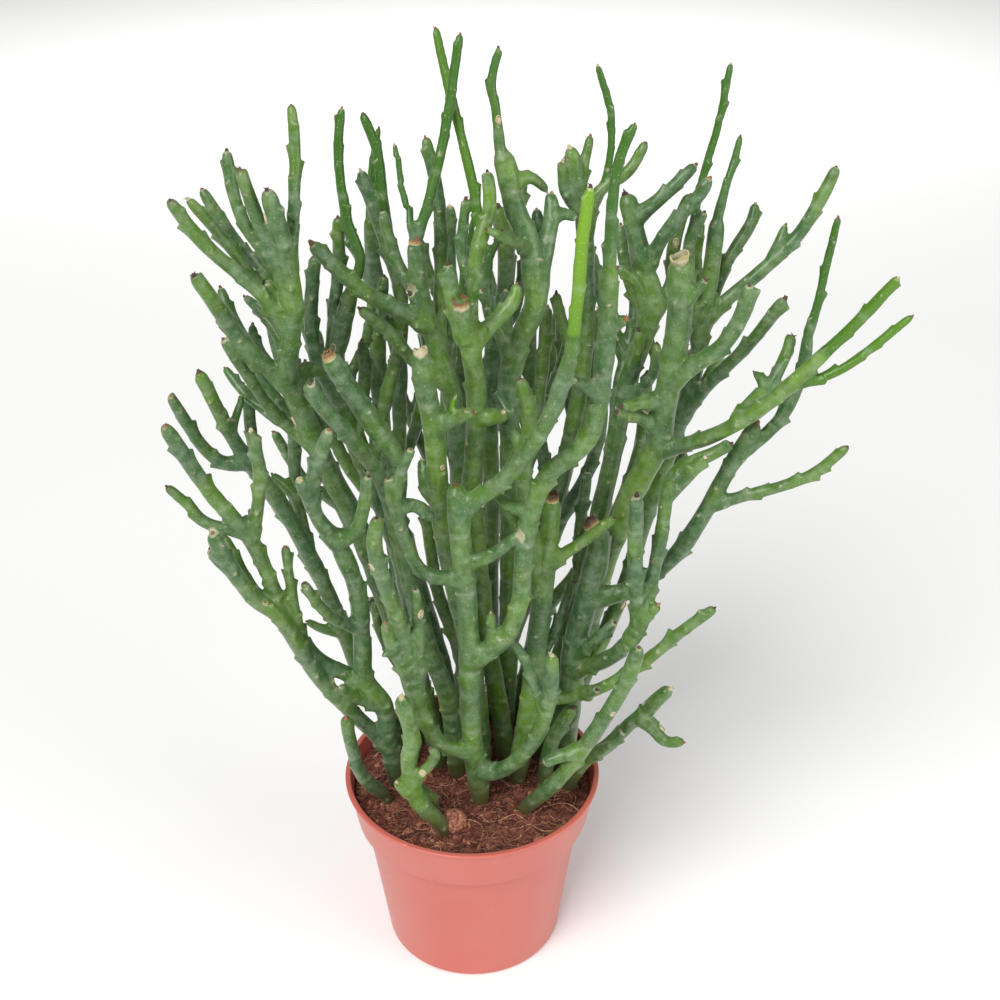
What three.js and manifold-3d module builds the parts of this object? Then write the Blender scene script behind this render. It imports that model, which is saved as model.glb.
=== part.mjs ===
// Potted euphorbia: a bush of jointless, pencil-thick succulent stems in a plastic nursery pot.
// Millimetres, +Z up. The origin is the centre of the pot's underside.
// Each rooted stem is one closed solid with all its branches; pot and soil are separate solids.

import * as THREE from 'three';
import { mergeVertices } from 'three/addons/utils/BufferGeometryUtils.js';
import Module from 'manifold-3d';

const wasm = await Module();
wasm.setup();

// Pot: a round thin-walled nursery pot with a collar and a rolled lip.
const POT_HEIGHT = 131.5;
const LIP_RADIUS = 85;
const LIP_DEPTH = 3.2;
const LIP_OVERHANG = 1.6;
const COLLAR_BOTTOM = 100.3;
const COLLAR_BOTTOM_RADIUS = 78.3;
const BODY_TOP_RADIUS = 73.1;
const BASE_RADIUS = 60.1;
const WALL = 1.8;
const FLOOR = 2.4;
const SHELF_RISE = 0.6;
const EDGE_ROUND = 2;
const LIP_ROUND = 0.8;
const COLLAR_STEP = COLLAR_BOTTOM + SHELF_RISE + WALL;
const POT_SIDES = 40;

// Drainage: a ring of round holes in the floor, clear of its middle.
const DRAIN_HOLES = 8;
const DRAIN_HOLE_RADIUS = 4.5;
const DRAIN_RING = 42;
const DRILL_LENGTH = FLOOR * 4;
const HOLE_SIDES = 16;

// Soil: coir compost that fills the pot to just under the lip.
const SOIL_EDGE = 120.5;
const SOIL_SHOULDER = 122;
const SOIL_SHOULDER_RADIUS = 60;
const SOIL_CROWN = 123;
const SOIL_CROWN_RADIUS = 30;
const GAP = 0.45;

// Stems: every rod is a bent, round-ended lathe shape.
const ROD_SIDES = 5;
const RING_STEP = 36;
const TIP_TAPER = 0.88;
const TIP_LENGTH = 0.6;
const SEARCH_STEPS = 160;
const SAME_POINT = 1e-4;

// Looks: waxy green bark, dull brown coir and satin terracotta plastic.
const DEEP_GREEN = 0x44704a;
const BRIGHT_GREEN = 0x6c9a3e;
const SOIL_BROWN = 0x5b3428;
const POT_TERRACOTTA = 0xd97a66;
const WAXY = 0.6;
const DULL = 0.95;
const SATIN = 0.45;

// ---------------------------------------------------------------------------------------------
// Growth plan. A stem has its name, how bright and yellow its green is, its radius and the points
// that it runs through, from the end in the soil to the tip, and then its limbs. A limb leaves its
// parent at a height, and has a radius, its own points and its own limbs. A shoot is thin new
// growth, a stub a cut-back end.

const limb = (height, radius, points, limbs) => ({ height, radius, points, limbs });
const shoot = limb;
const stub = limb;
const stem = (name, brightness, radius, points, limbs) => ({ name, brightness, radius, points, limbs });

const STEMS = [
  stem("stem_front_centre", 0.55, 7.0,
    [[7, -25, 106], [6, -25, 124], [1, -29, 177], [0, -34, 243], [-1, -38, 289], [-4, -41, 332],
      [-6, -45, 371]], [
    limb(168, 4.8, [[-18, -37, 181], [-30, -46, 213], [-36, -54, 243], [-37, -64, 278],
      [-48, -88, 354], [-45, -95, 377]], [
      limb(222, 3.6, [[-29, -54, 246], [-29, -66, 315]], []),
      limb(249, 3.6, [[-43, -71, 277], [-46, -78, 300]], []),
    ]),
    limb(155, 5.2, [[13, -29, 152], [22, -33, 158], [39, -42, 186], [48, -52, 226], [49, -62, 267]], [
      limb(216, 3.4, [[32, -38, 249], [25, -34, 258]], []),
    ]),
    limb(243, 5.6, [[20, -38, 260], [30, -40, 287], [33, -44, 330], [44, -48, 375], [66, -52, 401],
      [73, -57, 455],
      [73, -62, 503]], [
      limb(254, 3.2, [[14, -38, 268], [13, -42, 283]], []),
      limb(352, 3.4, [[27, -42, 353], [15, -30, 355]], []),
      limb(428, 3.0, [[60, -60, 437], [55, -66, 441]], []),
      stub(464, 2.8, [[79, -62, 471], [83, -66, 475]], []),
      shoot(501, 2.9, [[73, -61, 528], [76, -59, 553], [83, -58, 570]], []),
    ]),
    limb(315, 3.9, [[13, -43, 322], [30, -46, 338]], []),
    limb(303, 3.9, [[-25, -45, 312], [-34, -51, 334], [-38, -57, 356], [-42, -64, 384]], [
      limb(368, 3.2, [[-34, -65, 388], [-28, -72, 405]], []),
      limb(362, 3.6, [[-29, -49, 358], [-19, -42, 345]], []),
    ]),
    limb(352, 4.8, [[17, -49, 371], [33, -58, 395], [45, -67, 422], [51, -74, 445], [55, -79, 463]], [
      shoot(461, 3.3, [[57, -80, 499], [58, -80, 520], [61, -81, 546]], []),
    ]),
  ]),
  stem("shoot_left_rim", 0.4, 4.4,
    [[-54, -25, 106], [-55, -25, 124], [-70, -34, 153], [-75, -44, 193], [-76, -48, 211]], []),
  stem("stem_front_left", 0.4, 5.8,
    [[-15, -52, 106], [-17, -52, 124], [-33, -57, 153], [-37, -62, 187], [-34, -66, 207],
      [-39, -74, 246]], [
    limb(160, 4.0, [[-39, -62, 165], [-45, -68, 177]], []),
    limb(166, 3.2, [[-28, -66, 183], [-20, -70, 198], [-23, -73, 208]], []),
    limb(156, 3.9, [[-28, -47, 148], [-23, -36, 121], [-23, -36, 108]], []),
  ]),
  stem("stem_left", 0.35, 6.0,
    [[-50, -8, 106], [-51, -8, 124], [-54, -15, 166], [-55, -21, 199], [-65, -26, 222], [-65, -32, 254],
      [-65, -41, 298], [-74, -50, 338]], [
    limb(160, 4.9, [[-73, -25, 194], [-92, -38, 233], [-110, -58, 292], [-120, -63, 305],
      [-133, -76, 344], [-136, -80, 359]], [
      limb(301, 3.3, [[-126, -56, 316], [-138, -46, 338]], []),
      stub(326, 2.6, [[-136, -74, 337], [-140, -74, 346]], []),
    ]),
    limb(220, 4.5, [[-91, -32, 241], [-104, -45, 276], [-110, -54, 303], [-117, -70, 347],
      [-133, -85, 386], [-147, -105, 434]], [
      limb(263, 3.1, [[-101, -52, 301], [-101, -60, 339]], []),
      limb(349, 3.7, [[-112, -72, 368], [-108, -75, 394], [-110, -78, 419]], []),
      limb(355, 3.2, [[-140, -75, 362], [-147, -79, 375], [-156, -84, 389]], []),
    ]),
    limb(199, 3.7, [[-68, -25, 206], [-80, -38, 226]], []),
    limb(266, 3.3, [[-78, -47, 281], [-85, -58, 298], [-91, -70, 321]], []),
    limb(334, 4.2, [[-83, -58, 358], [-82, -66, 381], [-69, -80, 420]], [
      stub(366, 3.6, [[-88, -75, 389]], []),
    ]),
    limb(336, 4.0, [[-62, -54, 345], [-55, -60, 368], [-52, -64, 385]], []),
  ]),
  stem("stem_left_back", 0.3, 5.4,
    [[-39, 18, 106], [-41, 18, 124], [-58, 14, 164], [-72, 10, 200], [-92, 2, 278], [-115, -7, 343],
      [-129, -10, 367]], [
    limb(366, 3.7, [[-140, -14, 367], [-149, -18, 377], [-163, -30, 417]], []),
    limb(364, 4.2, [[-134, -21, 390], [-144, -36, 434]], [
      shoot(388, 2.4, [[-129, -15, 402], [-127, -10, 409]], []),
    ]),
    limb(300, 3.7, [[-106, 12, 330], [-121, 20, 343]], []),
    limb(338, 3.9, [[-122, -4, 355], [-127, 3, 383], [-127, 10, 407]], []),
    limb(236, 3.0, [[-94, 3, 241], [-104, 0, 249]], []),
    limb(240, 4.4, [[-92, 24, 252], [-110, 42, 284], [-112, 52, 324], [-113, 58, 362], [-128, 60, 384],
      [-140, 62, 404]], [
      limb(286, 3.6, [[-124, 46, 306], [-137, 48, 334]], []),
      limb(360, 3.4, [[-108, 66, 384], [-112, 70, 408]], []),
    ]),
  ]),
  stem("stem_upper_left", 0.45, 7.0,
    [[-21, 13, 106], [-22, 13, 124], [-31, 8, 181], [-45, 3, 232], [-58, -3, 288], [-70, -9, 333],
      [-80, -12, 358],
      [-93, -18, 402], [-101, -22, 428]], [
    limb(424, 5.2, [[-93, -29, 453], [-90, -33, 467], [-90, -42, 496], [-95, -56, 538]], [
      limb(452, 3.8, [[-106, -37, 477], [-130, -51, 509], [-142, -62, 534]], [
        limb(466, 3.3, [[-113, -34, 490], [-124, -38, 509], [-138, -41, 529]], []),
      ]),
      limb(458, 3.6, [[-104, -27, 485], [-117, -22, 497], [-132, -15, 518], [-137, -13, 527]], []),
      limb(468, 3.9, [[-97, -40, 496], [-103, -47, 522], [-108, -53, 547]], [
        limb(494, 3.4, [[-109, -40, 512], [-115, -36, 527], [-118, -31, 551]], []),
      ]),
      limb(488, 3.2, [[-86, -36, 520], [-84, -29, 550], [-85, -24, 572]], []),
      limb(436, 3.2, [[-103, -20, 450], [-112, -14, 460], [-121, -10, 467]], []),
    ]),
    limb(418, 4.5, [[-112, -30, 437], [-119, -36, 450], [-130, -53, 483], [-135, -60, 496]], [
      limb(444, 3.3, [[-126, -30, 468], [-130, -24, 477]], []),
      limb(431, 3.3, [[-115, -20, 443], [-117, -12, 452]], []),
    ]),
    limb(375, 3.5, [[-107, -14, 396], [-117, -24, 420], [-128, -40, 454]], [
      limb(394, 3.0, [[-125, -4, 404], [-140, 8, 418]], []),
    ]),
    limb(418, 4.2, [[-90, -10, 424], [-81, -1, 417]], []),
    limb(388, 3.6, [[-101, 4, 404], [-112, 20, 432], [-116, 36, 466]], []),
    limb(195, 4.0, [[-49, 10, 212], [-58, 15, 230], [-62, 20, 252]], []),
  ]),
  stem("stem_front_fork", 0.45, 6.4,
    [[-9, 2, 106], [-10, 2, 124], [-16, -1, 192], [-26, -6, 230], [-34, -10, 271], [-41, -17, 317],
      [-41, -26, 349],
      [-40, -32, 378], [-52, -38, 405], [-65, -46, 433], [-72, -51, 450]], [
    limb(330, 4.6, [[-51, -37, 374], [-63, -48, 400], [-77, -60, 427], [-80, -64, 439]], []),
    limb(420, 3.8, [[-68, -30, 426], [-74, -20, 426]], []),
    stub(368, 2.4, [[-48, -34, 366], [-57, -38, 375]], []),
  ]),
  stem("stem_centre_left", 0.85, 6.6,
    [[7, 2, 106], [7, 2, 124], [4, 1, 186], [-2, -6, 240], [-10, -14, 290], [-16, -21, 338],
      [-18, -35, 398],
      [-22, -46, 433], [-23, -50, 452]], [
    limb(401, 4.2, [[-9, -41, 407], [5, -50, 416]], [
      shoot(406, 1.9, [[-5, -43, 422]], []),
    ]),
    limb(345, 3.3, [[-24, -27, 357], [-26, -20, 374]], []),
  ]),
  stem("stem_centre", 0.8, 6.4,
    [[24, 18, 106], [23, 18, 124], [18, 17, 170], [10, 10, 230], [5, 0, 295], [2, -10, 347],
      [5, -16, 386],
      [5, -23, 423], [0, -29, 458], [-2, -31, 472]], [
    limb(440, 4.2, [[3, -16, 469], [7, -10, 494], [13, -4, 514], [12, 0, 533]], []),
    limb(447, 4.9, [[-6, -26, 468], [-9, -26, 491]], []),
    limb(445, 4.4, [[17, -15, 455], [26, -11, 464], [28, -8, 474]], []),
    limb(398, 3.8, [[19, -26, 402], [21, -32, 408]], []),
    shoot(462, 2.2, [[3, -30, 471], [10, -38, 480]], []),
  ]),
  stem("stem_centre_back", 0.6, 7.0,
    [[21, 38, 106], [21, 38, 124], [24, 34, 198], [25, 26, 280], [25, 17, 362], [23, 13, 400],
      [29, 10, 431],
      [39, 7, 458], [37, 8, 471], [34, 12, 491], [27, 15, 507], [22, 19, 529], [18, 21, 540]], [
    shoot(538, 2.7, [[16, 23, 561], [14, 24, 571], [18, 26, 591]], []),
    limb(520, 3.2, [[35, 22, 523], [45, 28, 514]], []),
    limb(462, 4.7, [[44, 16, 484], [47, 23, 502], [47, 28, 514]], [
      limb(500, 3.2, [[54, 26, 502], [62, 24, 499]], []),
    ]),
    limb(420, 3.9, [[18, 8, 439], [13, 11, 448], [10, 15, 478]], [
      shoot(470, 2.9, [[5, 20, 513], [-3, 29, 546], [-10, 37, 572], [-16, 44, 598]], []),
      limb(458, 3.2, [[-2, 17, 476], [0, 22, 512]], []),
      shoot(462, 2.2, [[14, 14, 484], [20, 12, 497]], []),
    ]),
    limb(486, 2.8, [[28, -2, 493], [19, -11, 500], [11, -16, 506]], []),
    limb(452, 4.0, [[39, 22, 474], [40, 28, 491], [39, 32, 504]], []),
    limb(300, 4.4, [[34, 38, 330], [44, 62, 386], [48, 78, 430]], [
      limb(352, 3.7, [[26, 62, 392], [22, 74, 442]], []),
    ]),
  ]),
  stem("stem_tall_left", 0.5, 6.0,
    [[-8, 36, 106], [-8, 36, 124], [-5, 35, 211], [-5, 30, 291], [-7, 23, 357], [-10, 19, 396],
      [-19, 15, 431],
      [-26, 12, 460], [-28, 10, 493]], [
    shoot(490, 2.9, [[-18, 15, 519], [-10, 22, 552], [-4, 28, 587], [-2, 30, 597]], []),
    shoot(489, 2.0, [[-34, 20, 514], [-39, 30, 540]], []),
    limb(440, 4.6, [[-34, 8, 450], [-53, 1, 463], [-70, -8, 482], [-82, -14, 498]], []),
    limb(402, 4.0, [[-32, 12, 421], [-44, 6, 440], [-60, 1, 456]], []),
    stub(450, 2.8, [[-32, 6, 463]], []),
    limb(461, 3.5, [[-36, 18, 470], [-44, 25, 491], [-47, 28, 504]], []),
    limb(425, 4.0, [[-15, 32, 472], [-16, 41, 505], [-23, 47, 540]], []),
    limb(192, 4.5, [[-15, 40, 219], [-23, 46, 243], [-27, 50, 275], [-30, 54, 304]], []),
    limb(330, 4.2, [[-14, 48, 372], [-12, 70, 420], [-16, 84, 452]], [
      limb(395, 3.6, [[-28, 78, 436], [-34, 88, 470]], []),
    ]),
  ]),
  stem("stem_crown_left", 0.35, 6.0,
    [[-35, 40, 106], [-35, 40, 124], [-38, 38, 200], [-46, 36, 273], [-62, 32, 333], [-75, 29, 375],
      [-80, 27, 407],
      [-74, 25, 430], [-66, 21, 460]], [
    shoot(456, 2.9, [[-60, 23, 476], [-67, 27, 500], [-70, 33, 536], [-67, 37, 558]], []),
    limb(412, 4.0, [[-78, 31, 440], [-73, 30, 472], [-72, 29, 500]], []),
    limb(392, 4.4, [[-89, 27, 414], [-91, 28, 439], [-86, 29, 478]], []),
    limb(333, 4.3, [[-50, 32, 387], [-40, 34, 424], [-40, 37, 455], [-50, 42, 490], [-60, 45, 522]], [
      shoot(470, 3.2, [[-48, 44, 510], [-50, 48, 530], [-58, 52, 552]], []),
      limb(422, 3.5, [[-49, 30, 444], [-47, 25, 467]], []),
    ]),
    limb(360, 4.2, [[-66, 38, 380], [-63, 46, 400], [-65, 52, 418]], []),
    limb(290, 4.2, [[-62, 56, 322], [-80, 74, 372], [-84, 80, 420]], [
      limb(352, 3.6, [[-92, 70, 384], [-104, 76, 424]], []),
      limb(376, 3.4, [[-66, 86, 404], [-60, 96, 440]], []),
    ]),
  ]),
  stem("stem_centre_right", 0.6, 7.0,
    [[29, -5, 106], [30, -5, 124], [38, -10, 194], [41, -11, 229], [46, -13, 294], [49, -15, 347]], [
    limb(197, 3.9, [[56, -14, 199], [69, -18, 205], [82, -22, 213], [107, -27, 236],
      [127, -34, 263], [146, -40, 285]], [
      stub(207, 3.6, [[79, -34, 221]], []),
    ]),
    limb(296, 3.6, [[55, -15, 305], [67, -17, 316], [86, -22, 336]], []),
    limb(290, 3.6, [[38, -18, 281], [31, -22, 279]], []),
    limb(272, 4.6, [[37, -17, 317], [32, -23, 360], [35, -28, 405], [29, -31, 428]], [
      limb(305, 3.6, [[30, -14, 322], [22, -12, 338], [17, -8, 347]], []),
      limb(374, 3.5, [[23, -14, 399], [15, -6, 409]], []),
    ]),
    limb(224, 3.7, [[54, 6, 238], [61, 18, 251], [65, 22, 265]], []),
  ]),
  stem("stem_right", 0.2, 8.4,
    [[60, 8, 106], [60, 8, 124], [65, 7, 190], [66, 7, 220], [74, 5, 268], [79, 4, 307],
      [72, 3, 320]], [
    limb(262, 5.4, [[94, 3, 268], [108, 0, 279], [125, -4, 299], [138, -8, 326], [151, -14, 363],
      [164, -20, 396]], [
      limb(337, 3.4, [[164, -17, 348], [182, -21, 356], [196, -25, 365], [214, -30, 386]], []),
      limb(375, 3.9, [[171, -15, 387], [183, -11, 404], [189, -7, 427], [190, -4, 444]], [
        shoot(442, 2.5, [[193, -3, 455], [197, 1, 481], [201, 4, 507]], []),
      ]),
    ]),
    limb(205, 5.0, [[85, -10, 226], [96, -21, 245], [101, -30, 264], [97, -37, 316], [95, -44, 363]], [
      limb(252, 4.2, [[105, -31, 276], [112, -28, 322], [119, -24, 366], [138, -25, 378],
        [150, -27, 386]], [
        limb(352, 3.5, [[126, -28, 366], [134, -33, 381]], []),
      ]),
      stub(262, 4.0, [[107, -35, 277], [113, -38, 286]], []),
    ]),
    limb(215, 3.7, [[76, -4, 234], [91, -7, 253]], []),
  ]),
  stem("stem_bright_right", 0.95, 7.8,
    [[44, 24, 106], [45, 24, 124], [72, 30, 206], [83, 27, 266], [94, 20, 312], [103, 10, 345],
      [111, 2, 371],
      [113, -3, 398], [117, -10, 456], [114, -15, 491]], [
    limb(367, 4.6, [[133, -13, 381], [154, -28, 401], [174, -38, 425], [188, -43, 444]], [
      shoot(441, 3.2, [[206, -46, 467], [221, -52, 492]], []),
      shoot(424, 2.6, [[199, -42, 436], [213, -43, 448], [233, -46, 469]], []),
      limb(398, 3.8, [[159, -20, 408], [169, -14, 414], [177, -6, 426], [184, 4, 439]], [
        limb(413, 2.6, [[165, -10, 418], [161, -6, 421]], []),
      ]),
    ]),
    limb(412, 4.8, [[124, -14, 426], [140, -22, 443], [149, -30, 469], [149, -34, 482]], []),
    limb(402, 3.8, [[100, -9, 403], [86, -15, 403]], []),
    limb(380, 3.6, [[99, -5, 392], [84, -11, 398]], []),
    stub(458, 2.9, [[122, -17, 469], [129, -20, 480]], []),
  ]),
  stem("stem_right_back", 0.45, 5.4,
    [[57, 36, 106], [58, 36, 124], [98, 45, 236], [112, 45, 297], [124, 42, 346], [135, 37, 401],
      [137, 35, 424],
      [140, 34, 472], [141, 34, 499]], [
    shoot(497, 2.4, [[145, 38, 514], [149, 42, 527], [152, 45, 541]], []),
    limb(436, 4.1, [[153, 37, 450], [172, 39, 467], [190, 42, 486], [203, 45, 511], [208, 46, 524]], [
      limb(470, 2.9, [[179, 44, 479], [183, 48, 490]], []),
    ]),
    limb(432, 3.9, [[144, 46, 446], [152, 51, 467], [165, 58, 488], [167, 61, 499]], []),
    limb(370, 4.1, [[143, 28, 399], [163, 19, 428], [179, 10, 459]], []),
    limb(420, 3.8, [[128, 29, 456], [125, 25, 487], [132, 22, 505]], [
      shoot(482, 2.3, [[131, 34, 520], [138, 38, 548], [143, 43, 580]], []),
    ]),
    limb(438, 3.6, [[134, 44, 454], [133, 50, 474], [135, 54, 490]], []),
    limb(300, 4.4, [[116, 54, 330], [130, 74, 372], [132, 88, 414]], [
      limb(346, 3.8, [[142, 62, 376], [160, 70, 412]], []),
      limb(372, 3.4, [[114, 92, 400], [108, 104, 436]], []),
    ]),
  ]),
  stem("stem_upper_right", 0.45, 6.2,
    [[40, 46, 106], [41, 46, 124], [63, 44, 206], [76, 42, 271], [87, 36, 338], [95, 33, 397],
      [106, 31, 437],
      [108, 31, 450], [100, 32, 472], [92, 34, 500], [88, 35, 512]], [
    limb(496, 4.0, [[110, 39, 508], [129, 45, 525]], []),
    limb(468, 4.1, [[112, 20, 495], [128, 15, 517], [132, 14, 526]], []),
    limb(432, 3.9, [[96, 25, 462], [84, 22, 473]], []),
    limb(402, 3.2, [[99, 22, 420], [98, 18, 437]], []),
    limb(380, 3.4, [[108, 20, 408], [109, 16, 430]], []),
    limb(440, 4.0, [[118, 38, 457], [118, 41, 474], [123, 45, 499], [127, 47, 508]], []),
    limb(248, 4.0, [[70, 50, 273], [72, 54, 299], [75, 58, 326]], []),
    limb(438, 3.9, [[96, 40, 453], [90, 46, 472], [88, 50, 490]], []),
    limb(350, 4.2, [[92, 56, 382], [102, 78, 426], [98, 90, 462]], [
      limb(400, 3.6, [[82, 84, 430], [76, 98, 458]], []),
    ]),
  ]),
  stem("stem_far_top", 0.5, 5.6,
    [[3, 56, 106], [4, 56, 124], [38, 58, 234], [58, 54, 325], [68, 50, 390], [70, 48, 430],
      [66, 42, 497],
      [62, 39, 515], [57, 37, 537]], [
    limb(512, 2.9, [[66, 42, 528], [69, 46, 541]], []),
    limb(498, 3.5, [[55, 36, 512], [53, 32, 530]], []),
    limb(484, 3.6, [[74, 43, 509], [91, 48, 520], [101, 52, 536]], []),
    shoot(490, 2.3, [[77, 45, 512], [80, 44, 548], [71, 42, 579]], []),
    limb(396, 3.8, [[60, 50, 418], [54, 54, 434], [52, 57, 446]], []),
    limb(300, 4.4, [[44, 78, 344], [38, 98, 396], [42, 108, 438]], [
      limb(350, 3.8, [[60, 104, 384], [70, 118, 424]], []),
      limb(376, 3.6, [[20, 106, 408], [10, 116, 444]], []),
    ]),
  ]),
  stem("stem_front_right", 0.5, 5.2,
    [[34, -36, 106], [34, -36, 124], [54, -43, 155], [75, -51, 198], [93, -60, 246], [99, -65, 275]], [
    limb(186, 4.2, [[57, -50, 182], [44, -52, 178]], []),
  ]),
  stem("stem_right_low", 0.45, 5.0,
    [[63, -14, 106], [64, -14, 126], [74, -12, 146], [88, -14, 160], [104, -16, 182],
      [111, -18, 190], [117, -21, 202],
      [126, -24, 215]], [
    limb(187, 4.2, [[116, -22, 182], [124, -27, 175], [136, -33, 179]], []),
    limb(150, 3.5, [[90, -22, 168], [98, -26, 182]], []),
  ]),
  stem("stub_right", 0.25, 5.2,
    [[48, -12, 106], [48, -12, 126], [52, -12, 160], [58, -12, 176], [66, -13, 192]], []),
  stem("stem_back_left", 0.35, 6.2,
    [[-30, 58, 106], [-31, 58, 124], [-44, 72, 190], [-54, 88, 250], [-58, 100, 310],
      [-62, 112, 372], [-60, 120, 420]], [
    limb(210, 4.8, [[-72, 88, 244], [-92, 96, 284], [-106, 106, 336], [-110, 112, 380]], [
      limb(282, 3.8, [[-112, 92, 300], [-132, 96, 336]], []),
      limb(330, 3.6, [[-92, 120, 360], [-88, 132, 404]], []),
    ]),
    limb(290, 4.2, [[-40, 112, 326], [-30, 126, 372], [-34, 134, 414]], [
      limb(352, 3.6, [[-14, 132, 376], [-8, 142, 410]], []),
    ]),
    limb(170, 3.8, [[-56, 60, 196], [-72, 64, 226]], []),
  ]),
  stem("stem_back_right", 0.35, 6.2,
    [[30, 58, 106], [31, 58, 124], [44, 78, 190], [52, 92, 250], [64, 102, 310], [80, 114, 366],
      [84, 124, 412]], [
    limb(252, 4.6, [[66, 86, 286], [78, 83, 315], [84, 80, 350], [82, 84, 390]], []),
    limb(200, 4.8, [[70, 84, 230], [94, 88, 268], [112, 100, 320], [116, 112, 372]], [
      limb(270, 3.8, [[120, 84, 290], [142, 86, 326]], []),
      limb(322, 3.6, [[132, 112, 346], [146, 118, 386]], []),
    ]),
    limb(262, 4.2, [[36, 108, 296], [22, 122, 340], [24, 132, 392]], [
      limb(322, 3.6, [[4, 126, 350], [-4, 136, 384]], []),
    ]),
    limb(330, 3.8, [[62, 126, 362], [58, 140, 402]], []),
  ]),
  stem("stem_back_centre", 0.4, 6.0,
    [[15, 66, 106], [15, 66, 124], [12, 76, 190], [12, 82, 245], [13, 84, 290], [12, 86, 330],
      [13, 86, 370],
      [15, 86, 404], [22, 91, 438], [22, 90, 464], [17, 88, 490]], [
    limb(330, 4.2, [[-4, 96, 360], [-12, 106, 400], [-13, 110, 440], [-12, 110, 484]], [
      limb(408, 3.4, [[-24, 112, 432], [-32, 112, 462]], []),
    ]),
    limb(402, 3.6, [[28, 96, 420], [34, 98, 456]], []),
    limb(458, 3.2, [[30, 94, 482], [33, 94, 506]], []),
  ]),
  stem("stem_back_outer_left", 0.3, 5.2,
    [[-13, 66, 106], [-13, 66, 124], [-22, 77, 163], [-34, 80, 213], [-44, 80, 258], [-51, 80, 282],
      [-50, 79, 312],
      [-47, 80, 337], [-46, 81, 365], [-45, 83, 388], [-52, 82, 424], [-58, 80, 452], [-59, 80, 486]], [
    limb(262, 4.6, [[-62, 75, 290], [-82, 78, 320], [-90, 81, 340], [-96, 87, 372], [-98, 92, 410]], [
      limb(334, 3.4, [[-104, 80, 354], [-116, 82, 382]], []),
    ]),
    limb(440, 3.6, [[-72, 88, 468], [-76, 90, 500]], []),
    shoot(484, 2.4, [[-57, 84, 512], [-52, 88, 536]], []),
  ]),
  stem("stem_back_outer", 0.35, 5.2,
    [[1, 69, 106], [1, 69, 124], [2, 92, 180], [0, 116, 240], [-6, 134, 300], [-10, 150, 360],
      [-8, 160, 410]], [
    limb(230, 4.4, [[24, 132, 262], [44, 148, 306], [56, 158, 352], [58, 164, 396]], [
      limb(304, 3.6, [[60, 146, 330], [74, 146, 362]], []),
    ]),
    limb(250, 4.2, [[-22, 134, 276], [-44, 150, 318], [-58, 158, 364]], [
      limb(316, 3.4, [[-36, 164, 348], [-34, 170, 384]], []),
    ]),
    limb(330, 3.6, [[8, 158, 356], [20, 168, 392]], []),
    shoot(404, 2.4, [[-4, 164, 436], [2, 164, 462]], []),
  ]),
];

// ---------------------------------------------------------------------------------------------
// Solids

// A closed geometry, with its vertices shared and its empty triangles left out, as a solid.
function toSolid(geometry) {
  geometry.deleteAttribute('normal');
  geometry.deleteAttribute('uv');
  const merged = mergeVertices(geometry, SAME_POINT);
  const corners = merged.index.array;
  const kept = [];
  for (let i = 0; i < corners.length; i += 3) {
    const [a, b, c] = [corners[i], corners[i + 1], corners[i + 2]];
    if (a !== b && b !== c && c !== a) kept.push(a, b, c);
  }
  const vertProperties = new Float32Array(merged.attributes.position.array);
  const triVerts = new Uint32Array(kept);
  const mesh = new wasm.Mesh({ numProp: 3, vertProperties, triVerts });
  mesh.merge();
  return new wasm.Manifold(mesh);
}

// A solid as a three.js geometry.
function toGeometry(solid) {
  const { vertProperties, triVerts } = solid.getMesh();
  const geometry = new THREE.BufferGeometry();
  geometry.setAttribute('position', new THREE.BufferAttribute(vertProperties, 3));
  geometry.setIndex(new THREE.BufferAttribute(triVerts, 1));
  geometry.computeVertexNormals();
  return geometry;
}

function joined(solids) {
  return solids.reduce((sum, solid) => sum.add(solid));
}

// A profile of [radius, height] pairs turned round the Z axis.
function turned(profile, sides) {
  const geometry = new THREE.LatheGeometry(profile.map(([r, z]) => new THREE.Vector2(r, z)), sides);
  geometry.rotateX(Math.PI / 2);
  return toSolid(geometry);
}

// A blunt-ended rod along a curve: a straight lathe shape whose rings are then set along it.
// It can start a little before the curve does.
function rod(curve, radius, before = 0) {
  const rings = Math.max(2, Math.round(curve.getLength() / RING_STEP));
  const frames = curve.computeFrenetFrames(rings, false);
  const rows = [{ at: 0, out: 0, on: -before }];
  for (let i = 0; i <= rings; i += 1) {
    rows.push({ at: i, out: radius * THREE.MathUtils.lerp(1, TIP_TAPER, i / rings), on: 0 });
  }
  rows[1].on = -before;
  rows[rings + 1].on = -radius * TIP_LENGTH;
  rows.push({ at: rings, out: 0, on: 0 });

  const profile = rows.map(({ out }, row) => new THREE.Vector2(out, row));
  const geometry = new THREE.LatheGeometry(profile, ROD_SIDES);
  const position = geometry.attributes.position;
  const place = new THREE.Vector3();
  for (let i = 0; i < position.count; i += 1) {
    const { at, on } = rows[i % rows.length];
    curve.getPointAt(at / rings, place);
    place.addScaledVector(frames.tangents[at], on);
    place.addScaledVector(frames.normals[at], position.getX(i));
    place.addScaledVector(frames.binormals[at], -position.getZ(i));
    position.setXYZ(i, place.x, place.y, place.z);
  }
  return toSolid(geometry);
}

// ---------------------------------------------------------------------------------------------
// Stems

function smoothCurve(points) {
  const through = points.map(([x, y, z]) => new THREE.Vector3(x, y, z));
  return new THREE.CatmullRomCurve3(through, false, 'centripetal');
}

// The first place along a curve that is at a height.
function placeAtHeight(curve, height) {
  const places = curve.getPoints(SEARCH_STEPS);
  for (let i = 1; i < places.length; i += 1) {
    const [low, high] = [places[i - 1], places[i]];
    if ((low.z - height) * (high.z - height) <= 0 && low.z !== high.z) {
      return low.clone().lerp(high, (height - low.z) / (high.z - low.z));
    }
  }
  throw new Error(`a limb leaves its parent at ${height} mm, which the parent never reaches`);
}

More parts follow.
